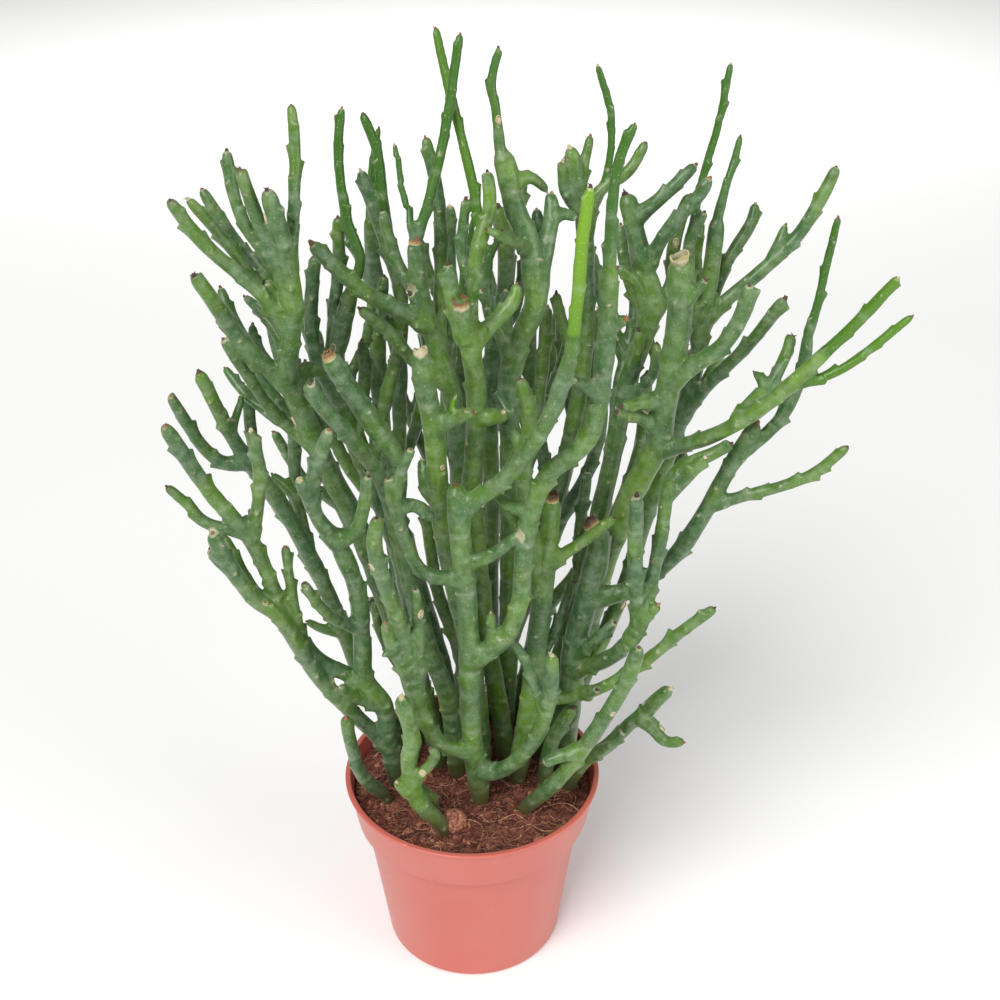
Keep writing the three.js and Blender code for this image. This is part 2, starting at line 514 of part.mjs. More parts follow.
// Every curve of a stem, with its radius: the trunk first, then limbs on limbs.
function growth({ points, radius, limbs }, start = []) {
  const curve = smoothCurve([...start, ...points]);
  const rods = [{ curve, radius }];
  for (const next of limbs) {
    rods.push(...growth(next, [placeAtHeight(curve, next.height).toArray()]));
  }
  return rods;
}

// The room that a stem needs in the soil: its buried rods again, a gap wider and longer.
function pocket(rods) {
  const reachesSoil = ({ curve }) => curve.points.some(({ z }) => z < SOIL_EDGE);
  return rods.filter(reachesSoil).map(({ curve, radius }) => rod(curve, radius + GAP * 2, GAP * 2));
}

// ---------------------------------------------------------------------------------------------
// Pot and soil

function pot() {
  const collarTop = LIP_RADIUS - LIP_OVERHANG;
  const lipBottom = POT_HEIGHT - LIP_DEPTH;
  const shell = turned([
    [0, 0],
    [BASE_RADIUS - EDGE_ROUND, 0],
    [BASE_RADIUS, EDGE_ROUND],
    [BODY_TOP_RADIUS, COLLAR_BOTTOM],
    [COLLAR_BOTTOM_RADIUS, COLLAR_BOTTOM + SHELF_RISE],
    [collarTop, lipBottom],
    [LIP_RADIUS, lipBottom + LIP_ROUND],
    [LIP_RADIUS, POT_HEIGHT - LIP_ROUND],
    [LIP_RADIUS - LIP_ROUND, POT_HEIGHT],
    [collarTop - WALL, POT_HEIGHT],
    [COLLAR_BOTTOM_RADIUS - WALL, COLLAR_STEP],
    [BODY_TOP_RADIUS - WALL, COLLAR_BOTTOM],
    [BASE_RADIUS - WALL, FLOOR],
    [0, FLOOR],
  ], POT_SIDES);

  const cuts = [];
  for (let i = 0; i < DRAIN_HOLES; i += 1) {
    const turn = (i * 2 * Math.PI) / DRAIN_HOLES;
    const hole = new THREE.CylinderGeometry(DRAIN_HOLE_RADIUS, DRAIN_HOLE_RADIUS, DRILL_LENGTH, HOLE_SIDES);
    hole.rotateX(Math.PI / 2);
    hole.translate(DRAIN_RING * Math.cos(turn), DRAIN_RING * Math.sin(turn), 0);
    cuts.push(toSolid(hole));
  }
  return shell.subtract(joined(cuts));
}

function soil(pockets) {
  const inside = WALL + GAP;
  const edge = THREE.MathUtils.mapLinear(SOIL_EDGE, COLLAR_STEP, POT_HEIGHT,
    COLLAR_BOTTOM_RADIUS, LIP_RADIUS - LIP_OVERHANG) - inside;
  const lump = turned([
    [0, FLOOR + GAP],
    [BASE_RADIUS - inside, FLOOR + GAP],
    [BODY_TOP_RADIUS - inside, COLLAR_BOTTOM + GAP],
    [COLLAR_BOTTOM_RADIUS - inside, COLLAR_STEP + GAP],
    [edge, SOIL_EDGE],
    [SOIL_SHOULDER_RADIUS, SOIL_SHOULDER],
    [SOIL_CROWN_RADIUS, SOIL_CROWN],
    [0, SOIL_CROWN],
  ], POT_SIDES);
  return lump.subtract(joined(pockets));
}

// ---------------------------------------------------------------------------------------------
// The plant

function finished(name, solid, color, roughness) {
  const material = new THREE.MeshStandardMaterial({ color, roughness, metalness: 0 });
  const mesh = new THREE.Mesh(toGeometry(solid), material);
  mesh.name = name;
  return mesh;
}

const plant = new THREE.Group();
const pockets = [];
for (const plan of STEMS) {
  const rods = growth(plan);
  const solids = rods.map(({ curve, radius }) => rod(curve, radius));
  const green = new THREE.Color(DEEP_GREEN).lerp(new THREE.Color(BRIGHT_GREEN), plan.brightness);
  plant.add(finished(plan.name, joined(solids), green, WAXY));
  pockets.push(...pocket(rods));
}
plant.add(finished('soil', soil(pockets), SOIL_BROWN, DULL));
plant.add(finished('pot', pot(), POT_TERRACOTTA, SATIN));

export default plant;
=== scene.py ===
"""A potted euphorbia: a bush of jointless succulent stems rooted in coir in a plastic nursery pot.

Laid out as a Blender add-on and run as a script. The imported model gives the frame; every piece made
here stands for one of its solids or rests on one. Metres in Blender, millimetres in the growth plan.
"""

import math
import random
from collections import namedtuple

import bmesh
import bpy
import numpy as np
from mathutils import Matrix, Vector, noise
from mathutils.kdtree import KDTree


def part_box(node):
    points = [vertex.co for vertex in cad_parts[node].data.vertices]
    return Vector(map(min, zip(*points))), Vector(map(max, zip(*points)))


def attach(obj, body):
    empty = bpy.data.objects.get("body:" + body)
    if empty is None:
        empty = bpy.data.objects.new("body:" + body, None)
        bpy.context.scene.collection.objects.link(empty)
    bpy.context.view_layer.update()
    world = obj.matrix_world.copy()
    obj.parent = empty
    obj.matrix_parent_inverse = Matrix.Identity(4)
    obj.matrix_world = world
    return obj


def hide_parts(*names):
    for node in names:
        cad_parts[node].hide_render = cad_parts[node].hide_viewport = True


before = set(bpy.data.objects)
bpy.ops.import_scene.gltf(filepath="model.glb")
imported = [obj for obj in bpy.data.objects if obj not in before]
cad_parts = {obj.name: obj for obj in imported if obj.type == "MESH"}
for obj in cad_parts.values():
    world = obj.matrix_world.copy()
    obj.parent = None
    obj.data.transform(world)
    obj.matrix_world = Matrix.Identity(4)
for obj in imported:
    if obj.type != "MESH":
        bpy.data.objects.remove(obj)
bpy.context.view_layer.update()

bl_info = {
    "name": "Potted euphorbia",
    "version": (1, 0, 0),
    "blender": (4, 5, 0),
    "location": "3D View > Sidebar > Euphorbia",
    "description": "Grows a potted euphorbia around its packed frame",
    "category": "Object",
}

MM = 0.001
TAU = 2 * math.pi
GOLDEN_TURN = math.radians(137.5)

# ---------------------------------------------------------------------------------------------
# Growth plan, in millimetres. A stem has its name, how yellow and bright its green is, its radius,
# the points that it runs through from the end in the soil to the tip, and then its limbs. A limb
# leaves its parent at a height, and has a radius, its own points and its own limbs. A shoot is
# thin new growth, and a stub is a cut-back end.

Limb = namedtuple("Limb", "kind height radius points limbs")
Stem = namedtuple("Stem", "name tone growth")


def limb(height, radius, points, limbs):
    return Limb("limb", height, radius, points, limbs)


def shoot(height, radius, points, limbs):
    return Limb("shoot", height, radius, points, limbs)


def stub(height, radius, points, limbs):
    return Limb("stub", height, radius, points, limbs)


def stem(name, tone, radius, points, limbs):
    return Stem(name, tone, Limb("trunk", None, radius, points, limbs))


STEMS = [
  stem("stem_front_centre", 0.55, 7.0,
    [[7, -25, 106], [6, -25, 124], [1, -29, 177], [0, -34, 243], [-1, -38, 289], [-4, -41, 332],
      [-6, -45, 371]], [
    limb(168, 4.8, [[-18, -37, 181], [-30, -46, 213], [-36, -54, 243], [-37, -64, 278],
      [-48, -88, 354], [-45, -95, 377]], [
      limb(222, 3.6, [[-29, -54, 246], [-29, -66, 315]], []),
      limb(249, 3.6, [[-43, -71, 277], [-46, -78, 300]], []),
    ]),
    limb(155, 5.2, [[13, -29, 152], [22, -33, 158], [39, -42, 186], [48, -52, 226], [49, -62, 267]], [
      limb(216, 3.4, [[32, -38, 249], [25, -34, 258]], []),
    ]),
    limb(243, 5.6, [[20, -38, 260], [30, -40, 287], [33, -44, 330], [44, -48, 375], [66, -52, 401],
      [73, -57, 455],
      [73, -62, 503]], [
      limb(254, 3.2, [[14, -38, 268], [13, -42, 283]], []),
      limb(352, 3.4, [[27, -42, 353], [15, -30, 355]], []),
      limb(428, 3.0, [[60, -60, 437], [55, -66, 441]], []),
      stub(464, 2.8, [[79, -62, 471], [83, -66, 475]], []),
      shoot(501, 2.9, [[73, -61, 528], [76, -59, 553], [83, -58, 570]], []),
    ]),
    limb(315, 3.9, [[13, -43, 322], [30, -46, 338]], []),
    limb(303, 3.9, [[-25, -45, 312], [-34, -51, 334], [-38, -57, 356], [-42, -64, 384]], [
      limb(368, 3.2, [[-34, -65, 388], [-28, -72, 405]], []),
      limb(362, 3.6, [[-29, -49, 358], [-19, -42, 345]], []),
    ]),
    limb(352, 4.8, [[17, -49, 371], [33, -58, 395], [45, -67, 422], [51, -74, 445], [55, -79, 463]], [
      shoot(461, 3.3, [[57, -80, 499], [58, -80, 520], [61, -81, 546]], []),
    ]),
  ]),
  stem("shoot_left_rim", 0.4, 4.4,
    [[-54, -25, 106], [-55, -25, 124], [-70, -34, 153], [-75, -44, 193], [-76, -48, 211]], []),
  stem("stem_front_left", 0.4, 5.8,
    [[-15, -52, 106], [-17, -52, 124], [-33, -57, 153], [-37, -62, 187], [-34, -66, 207],
      [-39, -74, 246]], [
    limb(160, 4.0, [[-39, -62, 165], [-45, -68, 177]], []),
    limb(166, 3.2, [[-28, -66, 183], [-20, -70, 198], [-23, -73, 208]], []),
    limb(156, 3.9, [[-28, -47, 148], [-23, -36, 121], [-23, -36, 108]], []),
  ]),
  stem("stem_left", 0.35, 6.0,
    [[-50, -8, 106], [-51, -8, 124], [-54, -15, 166], [-55, -21, 199], [-65, -26, 222], [-65, -32, 254],
      [-65, -41, 298], [-74, -50, 338]], [
    limb(160, 4.9, [[-73, -25, 194], [-92, -38, 233], [-110, -58, 292], [-120, -63, 305],
      [-133, -76, 344], [-136, -80, 359]], [
      limb(301, 3.3, [[-126, -56, 316], [-138, -46, 338]], []),
      stub(326, 2.6, [[-136, -74, 337], [-140, -74, 346]], []),
    ]),
    limb(220, 4.5, [[-91, -32, 241], [-104, -45, 276], [-110, -54, 303], [-117, -70, 347],
      [-133, -85, 386], [-147, -105, 434]], [
      limb(263, 3.1, [[-101, -52, 301], [-101, -60, 339]], []),
      limb(349, 3.7, [[-112, -72, 368], [-108, -75, 394], [-110, -78, 419]], []),
      limb(355, 3.2, [[-140, -75, 362], [-147, -79, 375], [-156, -84, 389]], []),
    ]),
    limb(199, 3.7, [[-68, -25, 206], [-80, -38, 226]], []),
    limb(266, 3.3, [[-78, -47, 281], [-85, -58, 298], [-91, -70, 321]], []),
    limb(334, 4.2, [[-83, -58, 358], [-82, -66, 381], [-69, -80, 420]], [
      stub(366, 3.6, [[-88, -75, 389]], []),
    ]),
    limb(336, 4.0, [[-62, -54, 345], [-55, -60, 368], [-52, -64, 385]], []),
  ]),
  stem("stem_left_back", 0.3, 5.4,
    [[-39, 18, 106], [-41, 18, 124], [-58, 14, 164], [-72, 10, 200], [-92, 2, 278], [-115, -7, 343],
      [-129, -10, 367]], [
    limb(366, 3.7, [[-140, -14, 367], [-149, -18, 377], [-163, -30, 417]], []),
    limb(364, 4.2, [[-134, -21, 390], [-144, -36, 434]], [
      shoot(388, 2.4, [[-129, -15, 402], [-127, -10, 409]], []),
    ]),
    limb(300, 3.7, [[-106, 12, 330], [-121, 20, 343]], []),
    limb(338, 3.9, [[-122, -4, 355], [-127, 3, 383], [-127, 10, 407]], []),
    limb(236, 3.0, [[-94, 3, 241], [-104, 0, 249]], []),
    limb(240, 4.4, [[-92, 24, 252], [-110, 42, 284], [-112, 52, 324], [-113, 58, 362], [-128, 60, 384],
      [-140, 62, 404]], [
      limb(286, 3.6, [[-124, 46, 306], [-137, 48, 334]], []),
      limb(360, 3.4, [[-108, 66, 384], [-112, 70, 408]], []),
    ]),
  ]),
  stem("stem_upper_left", 0.45, 7.0,
    [[-21, 13, 106], [-22, 13, 124], [-31, 8, 181], [-45, 3, 232], [-58, -3, 288], [-70, -9, 333],
      [-80, -12, 358],
      [-93, -18, 402], [-101, -22, 428]], [
    limb(424, 5.2, [[-93, -29, 453], [-90, -33, 467], [-90, -42, 496], [-95, -56, 538]], [
      limb(452, 3.8, [[-106, -37, 477], [-130, -51, 509], [-142, -62, 534]], [
        limb(466, 3.3, [[-113, -34, 490], [-124, -38, 509], [-138, -41, 529]], []),
      ]),
      limb(458, 3.6, [[-104, -27, 485], [-117, -22, 497], [-132, -15, 518], [-137, -13, 527]], []),
      limb(468, 3.9, [[-97, -40, 496], [-103, -47, 522], [-108, -53, 547]], [
        limb(494, 3.4, [[-109, -40, 512], [-115, -36, 527], [-118, -31, 551]], []),
      ]),
      limb(488, 3.2, [[-86, -36, 520], [-84, -29, 550], [-85, -24, 572]], []),
      limb(436, 3.2, [[-103, -20, 450], [-112, -14, 460], [-121, -10, 467]], []),
    ]),
    limb(418, 4.5, [[-112, -30, 437], [-119, -36, 450], [-130, -53, 483], [-135, -60, 496]], [
      limb(444, 3.3, [[-126, -30, 468], [-130, -24, 477]], []),
      limb(431, 3.3, [[-115, -20, 443], [-117, -12, 452]], []),
    ]),
    limb(375, 3.5, [[-107, -14, 396], [-117, -24, 420], [-128, -40, 454]], [
      limb(394, 3.0, [[-125, -4, 404], [-140, 8, 418]], []),
    ]),
    limb(418, 4.2, [[-90, -10, 424], [-81, -1, 417]], []),
    limb(388, 3.6, [[-101, 4, 404], [-112, 20, 432], [-116, 36, 466]], []),
    limb(195, 4.0, [[-49, 10, 212], [-58, 15, 230], [-62, 20, 252]], []),
  ]),
  stem("stem_front_fork", 0.45, 6.4,
    [[-9, 2, 106], [-10, 2, 124], [-16, -1, 192], [-26, -6, 230], [-34, -10, 271], [-41, -17, 317],
      [-41, -26, 349],
      [-40, -32, 378], [-52, -38, 405], [-65, -46, 433], [-72, -51, 450]], [
    limb(330, 4.6, [[-51, -37, 374], [-63, -48, 400], [-77, -60, 427], [-80, -64, 439]], []),
    limb(420, 3.8, [[-68, -30, 426], [-74, -20, 426]], []),
    stub(368, 2.4, [[-48, -34, 366], [-57, -38, 375]], []),
  ]),
  stem("stem_centre_left", 0.85, 6.6,
    [[7, 2, 106], [7, 2, 124], [4, 1, 186], [-2, -6, 240], [-10, -14, 290], [-16, -21, 338],
      [-18, -35, 398],
      [-22, -46, 433], [-23, -50, 452]], [
    limb(401, 4.2, [[-9, -41, 407], [5, -50, 416]], [
      shoot(406, 1.9, [[-5, -43, 422]], []),
    ]),
    limb(345, 3.3, [[-24, -27, 357], [-26, -20, 374]], []),
  ]),
  stem("stem_centre", 0.8, 6.4,
    [[24, 18, 106], [23, 18, 124], [18, 17, 170], [10, 10, 230], [5, 0, 295], [2, -10, 347],
      [5, -16, 386],
      [5, -23, 423], [0, -29, 458], [-2, -31, 472]], [
    limb(440, 4.2, [[3, -16, 469], [7, -10, 494], [13, -4, 514], [12, 0, 533]], []),
    limb(447, 4.9, [[-6, -26, 468], [-9, -26, 491]], []),
    limb(445, 4.4, [[17, -15, 455], [26, -11, 464], [28, -8, 474]], []),
    limb(398, 3.8, [[19, -26, 402], [21, -32, 408]], []),
    shoot(462, 2.2, [[3, -30, 471], [10, -38, 480]], []),
  ]),
  stem("stem_centre_back", 0.6, 7.0,
    [[21, 38, 106], [21, 38, 124], [24, 34, 198], [25, 26, 280], [25, 17, 362], [23, 13, 400],
      [29, 10, 431],
      [39, 7, 458], [37, 8, 471], [34, 12, 491], [27, 15, 507], [22, 19, 529], [18, 21, 540]], [
    shoot(538, 2.7, [[16, 23, 561], [14, 24, 571], [18, 26, 591]], []),
    limb(520, 3.2, [[35, 22, 523], [45, 28, 514]], []),
    limb(462, 4.7, [[44, 16, 484], [47, 23, 502], [47, 28, 514]], [
      limb(500, 3.2, [[54, 26, 502], [62, 24, 499]], []),
    ]),
    limb(420, 3.9, [[18, 8, 439], [13, 11, 448], [10, 15, 478]], [
      shoot(470, 2.9, [[5, 20, 513], [-3, 29, 546], [-10, 37, 572], [-16, 44, 598]], []),
      limb(458, 3.2, [[-2, 17, 476], [0, 22, 512]], []),
      shoot(462, 2.2, [[14, 14, 484], [20, 12, 497]], []),
    ]),
    limb(486, 2.8, [[28, -2, 493], [19, -11, 500], [11, -16, 506]], []),
    limb(452, 4.0, [[39, 22, 474], [40, 28, 491], [39, 32, 504]], []),
    limb(300, 4.4, [[34, 38, 330], [44, 62, 386], [48, 78, 430]], [
      limb(352, 3.7, [[26, 62, 392], [22, 74, 442]], []),
    ]),
  ]),
  stem("stem_tall_left", 0.5, 6.0,
    [[-8, 36, 106], [-8, 36, 124], [-5, 35, 211], [-5, 30, 291], [-7, 23, 357], [-10, 19, 396],
      [-19, 15, 431],
      [-26, 12, 460], [-28, 10, 493]], [
    shoot(490, 2.9, [[-18, 15, 519], [-10, 22, 552], [-4, 28, 587], [-2, 30, 597]], []),
    shoot(489, 2.0, [[-34, 20, 514], [-39, 30, 540]], []),
    limb(440, 4.6, [[-34, 8, 450], [-53, 1, 463], [-70, -8, 482], [-82, -14, 498]], []),
    limb(402, 4.0, [[-32, 12, 421], [-44, 6, 440], [-60, 1, 456]], []),
    stub(450, 2.8, [[-32, 6, 463]], []),
    limb(461, 3.5, [[-36, 18, 470], [-44, 25, 491], [-47, 28, 504]], []),
    limb(425, 4.0, [[-15, 32, 472], [-16, 41, 505], [-23, 47, 540]], []),
    limb(192, 4.5, [[-15, 40, 219], [-23, 46, 243], [-27, 50, 275], [-30, 54, 304]], []),
    limb(330, 4.2, [[-14, 48, 372], [-12, 70, 420], [-16, 84, 452]], [
      limb(395, 3.6, [[-28, 78, 436], [-34, 88, 470]], []),
    ]),
  ]),
  stem("stem_crown_left", 0.35, 6.0,
    [[-35, 40, 106], [-35, 40, 124], [-38, 38, 200], [-46, 36, 273], [-62, 32, 333], [-75, 29, 375],
      [-80, 27, 407],
      [-74, 25, 430], [-66, 21, 460]], [
    shoot(456, 2.9, [[-60, 23, 476], [-67, 27, 500], [-70, 33, 536], [-67, 37, 558]], []),
    limb(412, 4.0, [[-78, 31, 440], [-73, 30, 472], [-72, 29, 500]], []),
    limb(392, 4.4, [[-89, 27, 414], [-91, 28, 439], [-86, 29, 478]], []),
    limb(333, 4.3, [[-50, 32, 387], [-40, 34, 424], [-40, 37, 455], [-50, 42, 490], [-60, 45, 522]], [
      shoot(470, 3.2, [[-48, 44, 510], [-50, 48, 530], [-58, 52, 552]], []),
      limb(422, 3.5, [[-49, 30, 444], [-47, 25, 467]], []),
    ]),
    limb(360, 4.2, [[-66, 38, 380], [-63, 46, 400], [-65, 52, 418]], []),
    limb(290, 4.2, [[-62, 56, 322], [-80, 74, 372], [-84, 80, 420]], [
      limb(352, 3.6, [[-92, 70, 384], [-104, 76, 424]], []),
      limb(376, 3.4, [[-66, 86, 404], [-60, 96, 440]], []),
    ]),
  ]),
  stem("stem_centre_right", 0.6, 7.0,
    [[29, -5, 106], [30, -5, 124], [38, -10, 194], [41, -11, 229], [46, -13, 294], [49, -15, 347]], [
    limb(197, 3.9, [[56, -14, 199], [69, -18, 205], [82, -22, 213], [107, -27, 236],
      [127, -34, 263], [146, -40, 285]], [
      stub(207, 3.6, [[79, -34, 221]], []),
    ]),
    limb(296, 3.6, [[55, -15, 305], [67, -17, 316], [86, -22, 336]], []),
    limb(290, 3.6, [[38, -18, 281], [31, -22, 279]], []),
    limb(272, 4.6, [[37, -17, 317], [32, -23, 360], [35, -28, 405], [29, -31, 428]], [
      limb(305, 3.6, [[30, -14, 322], [22, -12, 338], [17, -8, 347]], []),
      limb(374, 3.5, [[23, -14, 399], [15, -6, 409]], []),
    ]),
    limb(224, 3.7, [[54, 6, 238], [61, 18, 251], [65, 22, 265]], []),
  ]),
  stem("stem_right", 0.2, 8.4,
    [[60, 8, 106], [60, 8, 124], [65, 7, 190], [66, 7, 220], [74, 5, 268], [79, 4, 307],
      [72, 3, 320]], [
    limb(262, 5.4, [[94, 3, 268], [108, 0, 279], [125, -4, 299], [138, -8, 326], [151, -14, 363],
      [164, -20, 396]], [
      limb(337, 3.4, [[164, -17, 348], [182, -21, 356], [196, -25, 365], [214, -30, 386]], []),
      limb(375, 3.9, [[171, -15, 387], [183, -11, 404], [189, -7, 427], [190, -4, 444]], [
        shoot(442, 2.5, [[193, -3, 455], [197, 1, 481], [201, 4, 507]], []),
      ]),
    ]),
    limb(205, 5.0, [[85, -10, 226], [96, -21, 245], [101, -30, 264], [97, -37, 316], [95, -44, 363]], [
      limb(252, 4.2, [[105, -31, 276], [112, -28, 322], [119, -24, 366], [138, -25, 378],
        [150, -27, 386]], [
        limb(352, 3.5, [[126, -28, 366], [134, -33, 381]], []),
      ]),
      stub(262, 4.0, [[107, -35, 277], [113, -38, 286]], []),
    ]),
    limb(215, 3.7, [[76, -4, 234], [91, -7, 253]], []),
  ]),
  stem("stem_bright_right", 0.95, 7.8,
    [[44, 24, 106], [45, 24, 124], [72, 30, 206], [83, 27, 266], [94, 20, 312], [103, 10, 345],
      [111, 2, 371],
      [113, -3, 398], [117, -10, 456], [114, -15, 491]], [
    limb(367, 4.6, [[133, -13, 381], [154, -28, 401], [174, -38, 425], [188, -43, 444]], [
      shoot(441, 3.2, [[206, -46, 467], [221, -52, 492]], []),
      shoot(424, 2.6, [[199, -42, 436], [213, -43, 448], [233, -46, 469]], []),
      limb(398, 3.8, [[159, -20, 408], [169, -14, 414], [177, -6, 426], [184, 4, 439]], [
        limb(413, 2.6, [[165, -10, 418], [161, -6, 421]], []),
      ]),
    ]),
    limb(412, 4.8, [[124, -14, 426], [140, -22, 443], [149, -30, 469], [149, -34, 482]], []),
    limb(402, 3.8, [[100, -9, 403], [86, -15, 403]], []),
    limb(380, 3.6, [[99, -5, 392], [84, -11, 398]], []),
    stub(458, 2.9, [[122, -17, 469], [129, -20, 480]], []),
  ]),
  stem("stem_right_back", 0.45, 5.4,
    [[57, 36, 106], [58, 36, 124], [98, 45, 236], [112, 45, 297], [124, 42, 346], [135, 37, 401],
      [137, 35, 424],
      [140, 34, 472], [141, 34, 499]], [
    shoot(497, 2.4, [[145, 38, 514], [149, 42, 527], [152, 45, 541]], []),
    limb(436, 4.1, [[153, 37, 450], [172, 39, 467], [190, 42, 486], [203, 45, 511], [208, 46, 524]], [
      limb(470, 2.9, [[179, 44, 479], [183, 48, 490]], []),
    ]),
    limb(432, 3.9, [[144, 46, 446], [152, 51, 467], [165, 58, 488], [167, 61, 499]], []),
    limb(370, 4.1, [[143, 28, 399], [163, 19, 428], [179, 10, 459]], []),
    limb(420, 3.8, [[128, 29, 456], [125, 25, 487], [132, 22, 505]], [
      shoot(482, 2.3, [[131, 34, 520], [138, 38, 548], [143, 43, 580]], []),
    ]),
    limb(438, 3.6, [[134, 44, 454], [133, 50, 474], [135, 54, 490]], []),
    limb(300, 4.4, [[116, 54, 330], [130, 74, 372], [132, 88, 414]], [
      limb(346, 3.8, [[142, 62, 376], [160, 70, 412]], []),
      limb(372, 3.4, [[114, 92, 400], [108, 104, 436]], []),
    ]),
  ]),
  stem("stem_upper_right", 0.45, 6.2,
    [[40, 46, 106], [41, 46, 124], [63, 44, 206], [76, 42, 271], [87, 36, 338], [95, 33, 397],
      [106, 31, 437],
      [108, 31, 450], [100, 32, 472], [92, 34, 500], [88, 35, 512]], [
    limb(496, 4.0, [[110, 39, 508], [129, 45, 525]], []),
    limb(468, 4.1, [[112, 20, 495], [128, 15, 517], [132, 14, 526]], []),
    limb(432, 3.9, [[96, 25, 462], [84, 22, 473]], []),
    limb(402, 3.2, [[99, 22, 420], [98, 18, 437]], []),
    limb(380, 3.4, [[108, 20, 408], [109, 16, 430]], []),
    limb(440, 4.0, [[118, 38, 457], [118, 41, 474], [123, 45, 499], [127, 47, 508]], []),
    limb(248, 4.0, [[70, 50, 273], [72, 54, 299], [75, 58, 326]], []),
    limb(438, 3.9, [[96, 40, 453], [90, 46, 472], [88, 50, 490]], []),
    limb(350, 4.2, [[92, 56, 382], [102, 78, 426], [98, 90, 462]], [
      limb(400, 3.6, [[82, 84, 430], [76, 98, 458]], []),
    ]),
  ]),
  stem("stem_far_top", 0.5, 5.6,
    [[3, 56, 106], [4, 56, 124], [38, 58, 234], [58, 54, 325], [68, 50, 390], [70, 48, 430],
      [66, 42, 497],
      [62, 39, 515], [57, 37, 537]], [
    limb(512, 2.9, [[66, 42, 528], [69, 46, 541]], []),
    limb(498, 3.5, [[55, 36, 512], [53, 32, 530]], []),
    limb(484, 3.6, [[74, 43, 509], [91, 48, 520], [101, 52, 536]], []),
    shoot(490, 2.3, [[77, 45, 512], [80, 44, 548], [71, 42, 579]], []),
    limb(396, 3.8, [[60, 50, 418], [54, 54, 434], [52, 57, 446]], []),
    limb(300, 4.4, [[44, 78, 344], [38, 98, 396], [42, 108, 438]], [
      limb(350, 3.8, [[60, 104, 384], [70, 118, 424]], []),
      limb(376, 3.6, [[20, 106, 408], [10, 116, 444]], []),
    ]),
  ]),
  stem("stem_front_right", 0.5, 5.2,
    [[34, -36, 106], [34, -36, 124], [54, -43, 155], [75, -51, 198], [93, -60, 246], [99, -65, 275]], [
    limb(186, 4.2, [[57, -50, 182], [44, -52, 178]], []),
  ]),
  stem("stem_right_low", 0.45, 5.0,
    [[63, -14, 106], [64, -14, 126], [74, -12, 146], [88, -14, 160], [104, -16, 182],
      [111, -18, 190], [117, -21, 202],
      [126, -24, 215]], [
    limb(187, 4.2, [[116, -22, 182], [124, -27, 175], [136, -33, 179]], []),
    limb(150, 3.5, [[90, -22, 168], [98, -26, 182]], []),
  ]),
  stem("stub_right", 0.25, 5.2,
    [[48, -12, 106], [48, -12, 126], [52, -12, 160], [58, -12, 176], [66, -13, 192]], []),
  stem("stem_back_left", 0.35, 6.2,
    [[-30, 58, 106], [-31, 58, 124], [-44, 72, 190], [-54, 88, 250], [-58, 100, 310],
      [-62, 112, 372], [-60, 120, 420]], [
    limb(210, 4.8, [[-72, 88, 244], [-92, 96, 284], [-106, 106, 336], [-110, 112, 380]], [
      limb(282, 3.8, [[-112, 92, 300], [-132, 96, 336]], []),
      limb(330, 3.6, [[-92, 120, 360], [-88, 132, 404]], []),
    ]),
    limb(290, 4.2, [[-40, 112, 326], [-30, 126, 372], [-34, 134, 414]], [
      limb(352, 3.6, [[-14, 132, 376], [-8, 142, 410]], []),
    ]),
    limb(170, 3.8, [[-56, 60, 196], [-72, 64, 226]], []),
  ]),
  stem("stem_back_right", 0.35, 6.2,
    [[30, 58, 106], [31, 58, 124], [44, 78, 190], [52, 92, 250], [64, 102, 310], [80, 114, 366],
      [84, 124, 412]], [
    limb(252, 4.6, [[66, 86, 286], [78, 83, 315], [84, 80, 350], [82, 84, 390]], []),
    limb(200, 4.8, [[70, 84, 230], [94, 88, 268], [112, 100, 320], [116, 112, 372]], [
      limb(270, 3.8, [[120, 84, 290], [142, 86, 326]], []),
      limb(322, 3.6, [[132, 112, 346], [146, 118, 386]], []),
    ]),
    limb(262, 4.2, [[36, 108, 296], [22, 122, 340], [24, 132, 392]], [
      limb(322, 3.6, [[4, 126, 350], [-4, 136, 384]], []),
    ]),
    limb(330, 3.8, [[62, 126, 362], [58, 140, 402]], []),
  ]),
  stem("stem_back_centre", 0.4, 6.0,
    [[15, 66, 106], [15, 66, 124], [12, 76, 190], [12, 82, 245], [13, 84, 290], [12, 86, 330],
      [13, 86, 370],
      [15, 86, 404], [22, 91, 438], [22, 90, 464], [17, 88, 490]], [
    limb(330, 4.2, [[-4, 96, 360], [-12, 106, 400], [-13, 110, 440], [-12, 110, 484]], [
      limb(408, 3.4, [[-24, 112, 432], [-32, 112, 462]], []),
    ]),
    limb(402, 3.6, [[28, 96, 420], [34, 98, 456]], []),
    limb(458, 3.2, [[30, 94, 482], [33, 94, 506]], []),
  ]),
  stem("stem_back_outer_left", 0.3, 5.2,
    [[-13, 66, 106], [-13, 66, 124], [-22, 77, 163], [-34, 80, 213], [-44, 80, 258], [-51, 80, 282],
      [-50, 79, 312],
      [-47, 80, 337], [-46, 81, 365], [-45, 83, 388], [-52, 82, 424], [-58, 80, 452], [-59, 80, 486]], [
    limb(262, 4.6, [[-62, 75, 290], [-82, 78, 320], [-90, 81, 340], [-96, 87, 372], [-98, 92, 410]], [
      limb(334, 3.4, [[-104, 80, 354], [-116, 82, 382]], []),
    ]),
    limb(440, 3.6, [[-72, 88, 468], [-76, 90, 500]], []),
    shoot(484, 2.4, [[-57, 84, 512], [-52, 88, 536]], []),
  ]),
  stem("stem_back_outer", 0.35, 5.2,
    [[1, 69, 106], [1, 69, 124], [2, 92, 180], [0, 116, 240], [-6, 134, 300], [-10, 150, 360],
      [-8, 160, 410]], [
    limb(230, 4.4, [[24, 132, 262], [44, 148, 306], [56, 158, 352], [58, 164, 396]], [
      limb(304, 3.6, [[60, 146, 330], [74, 146, 362]], []),
    ]),
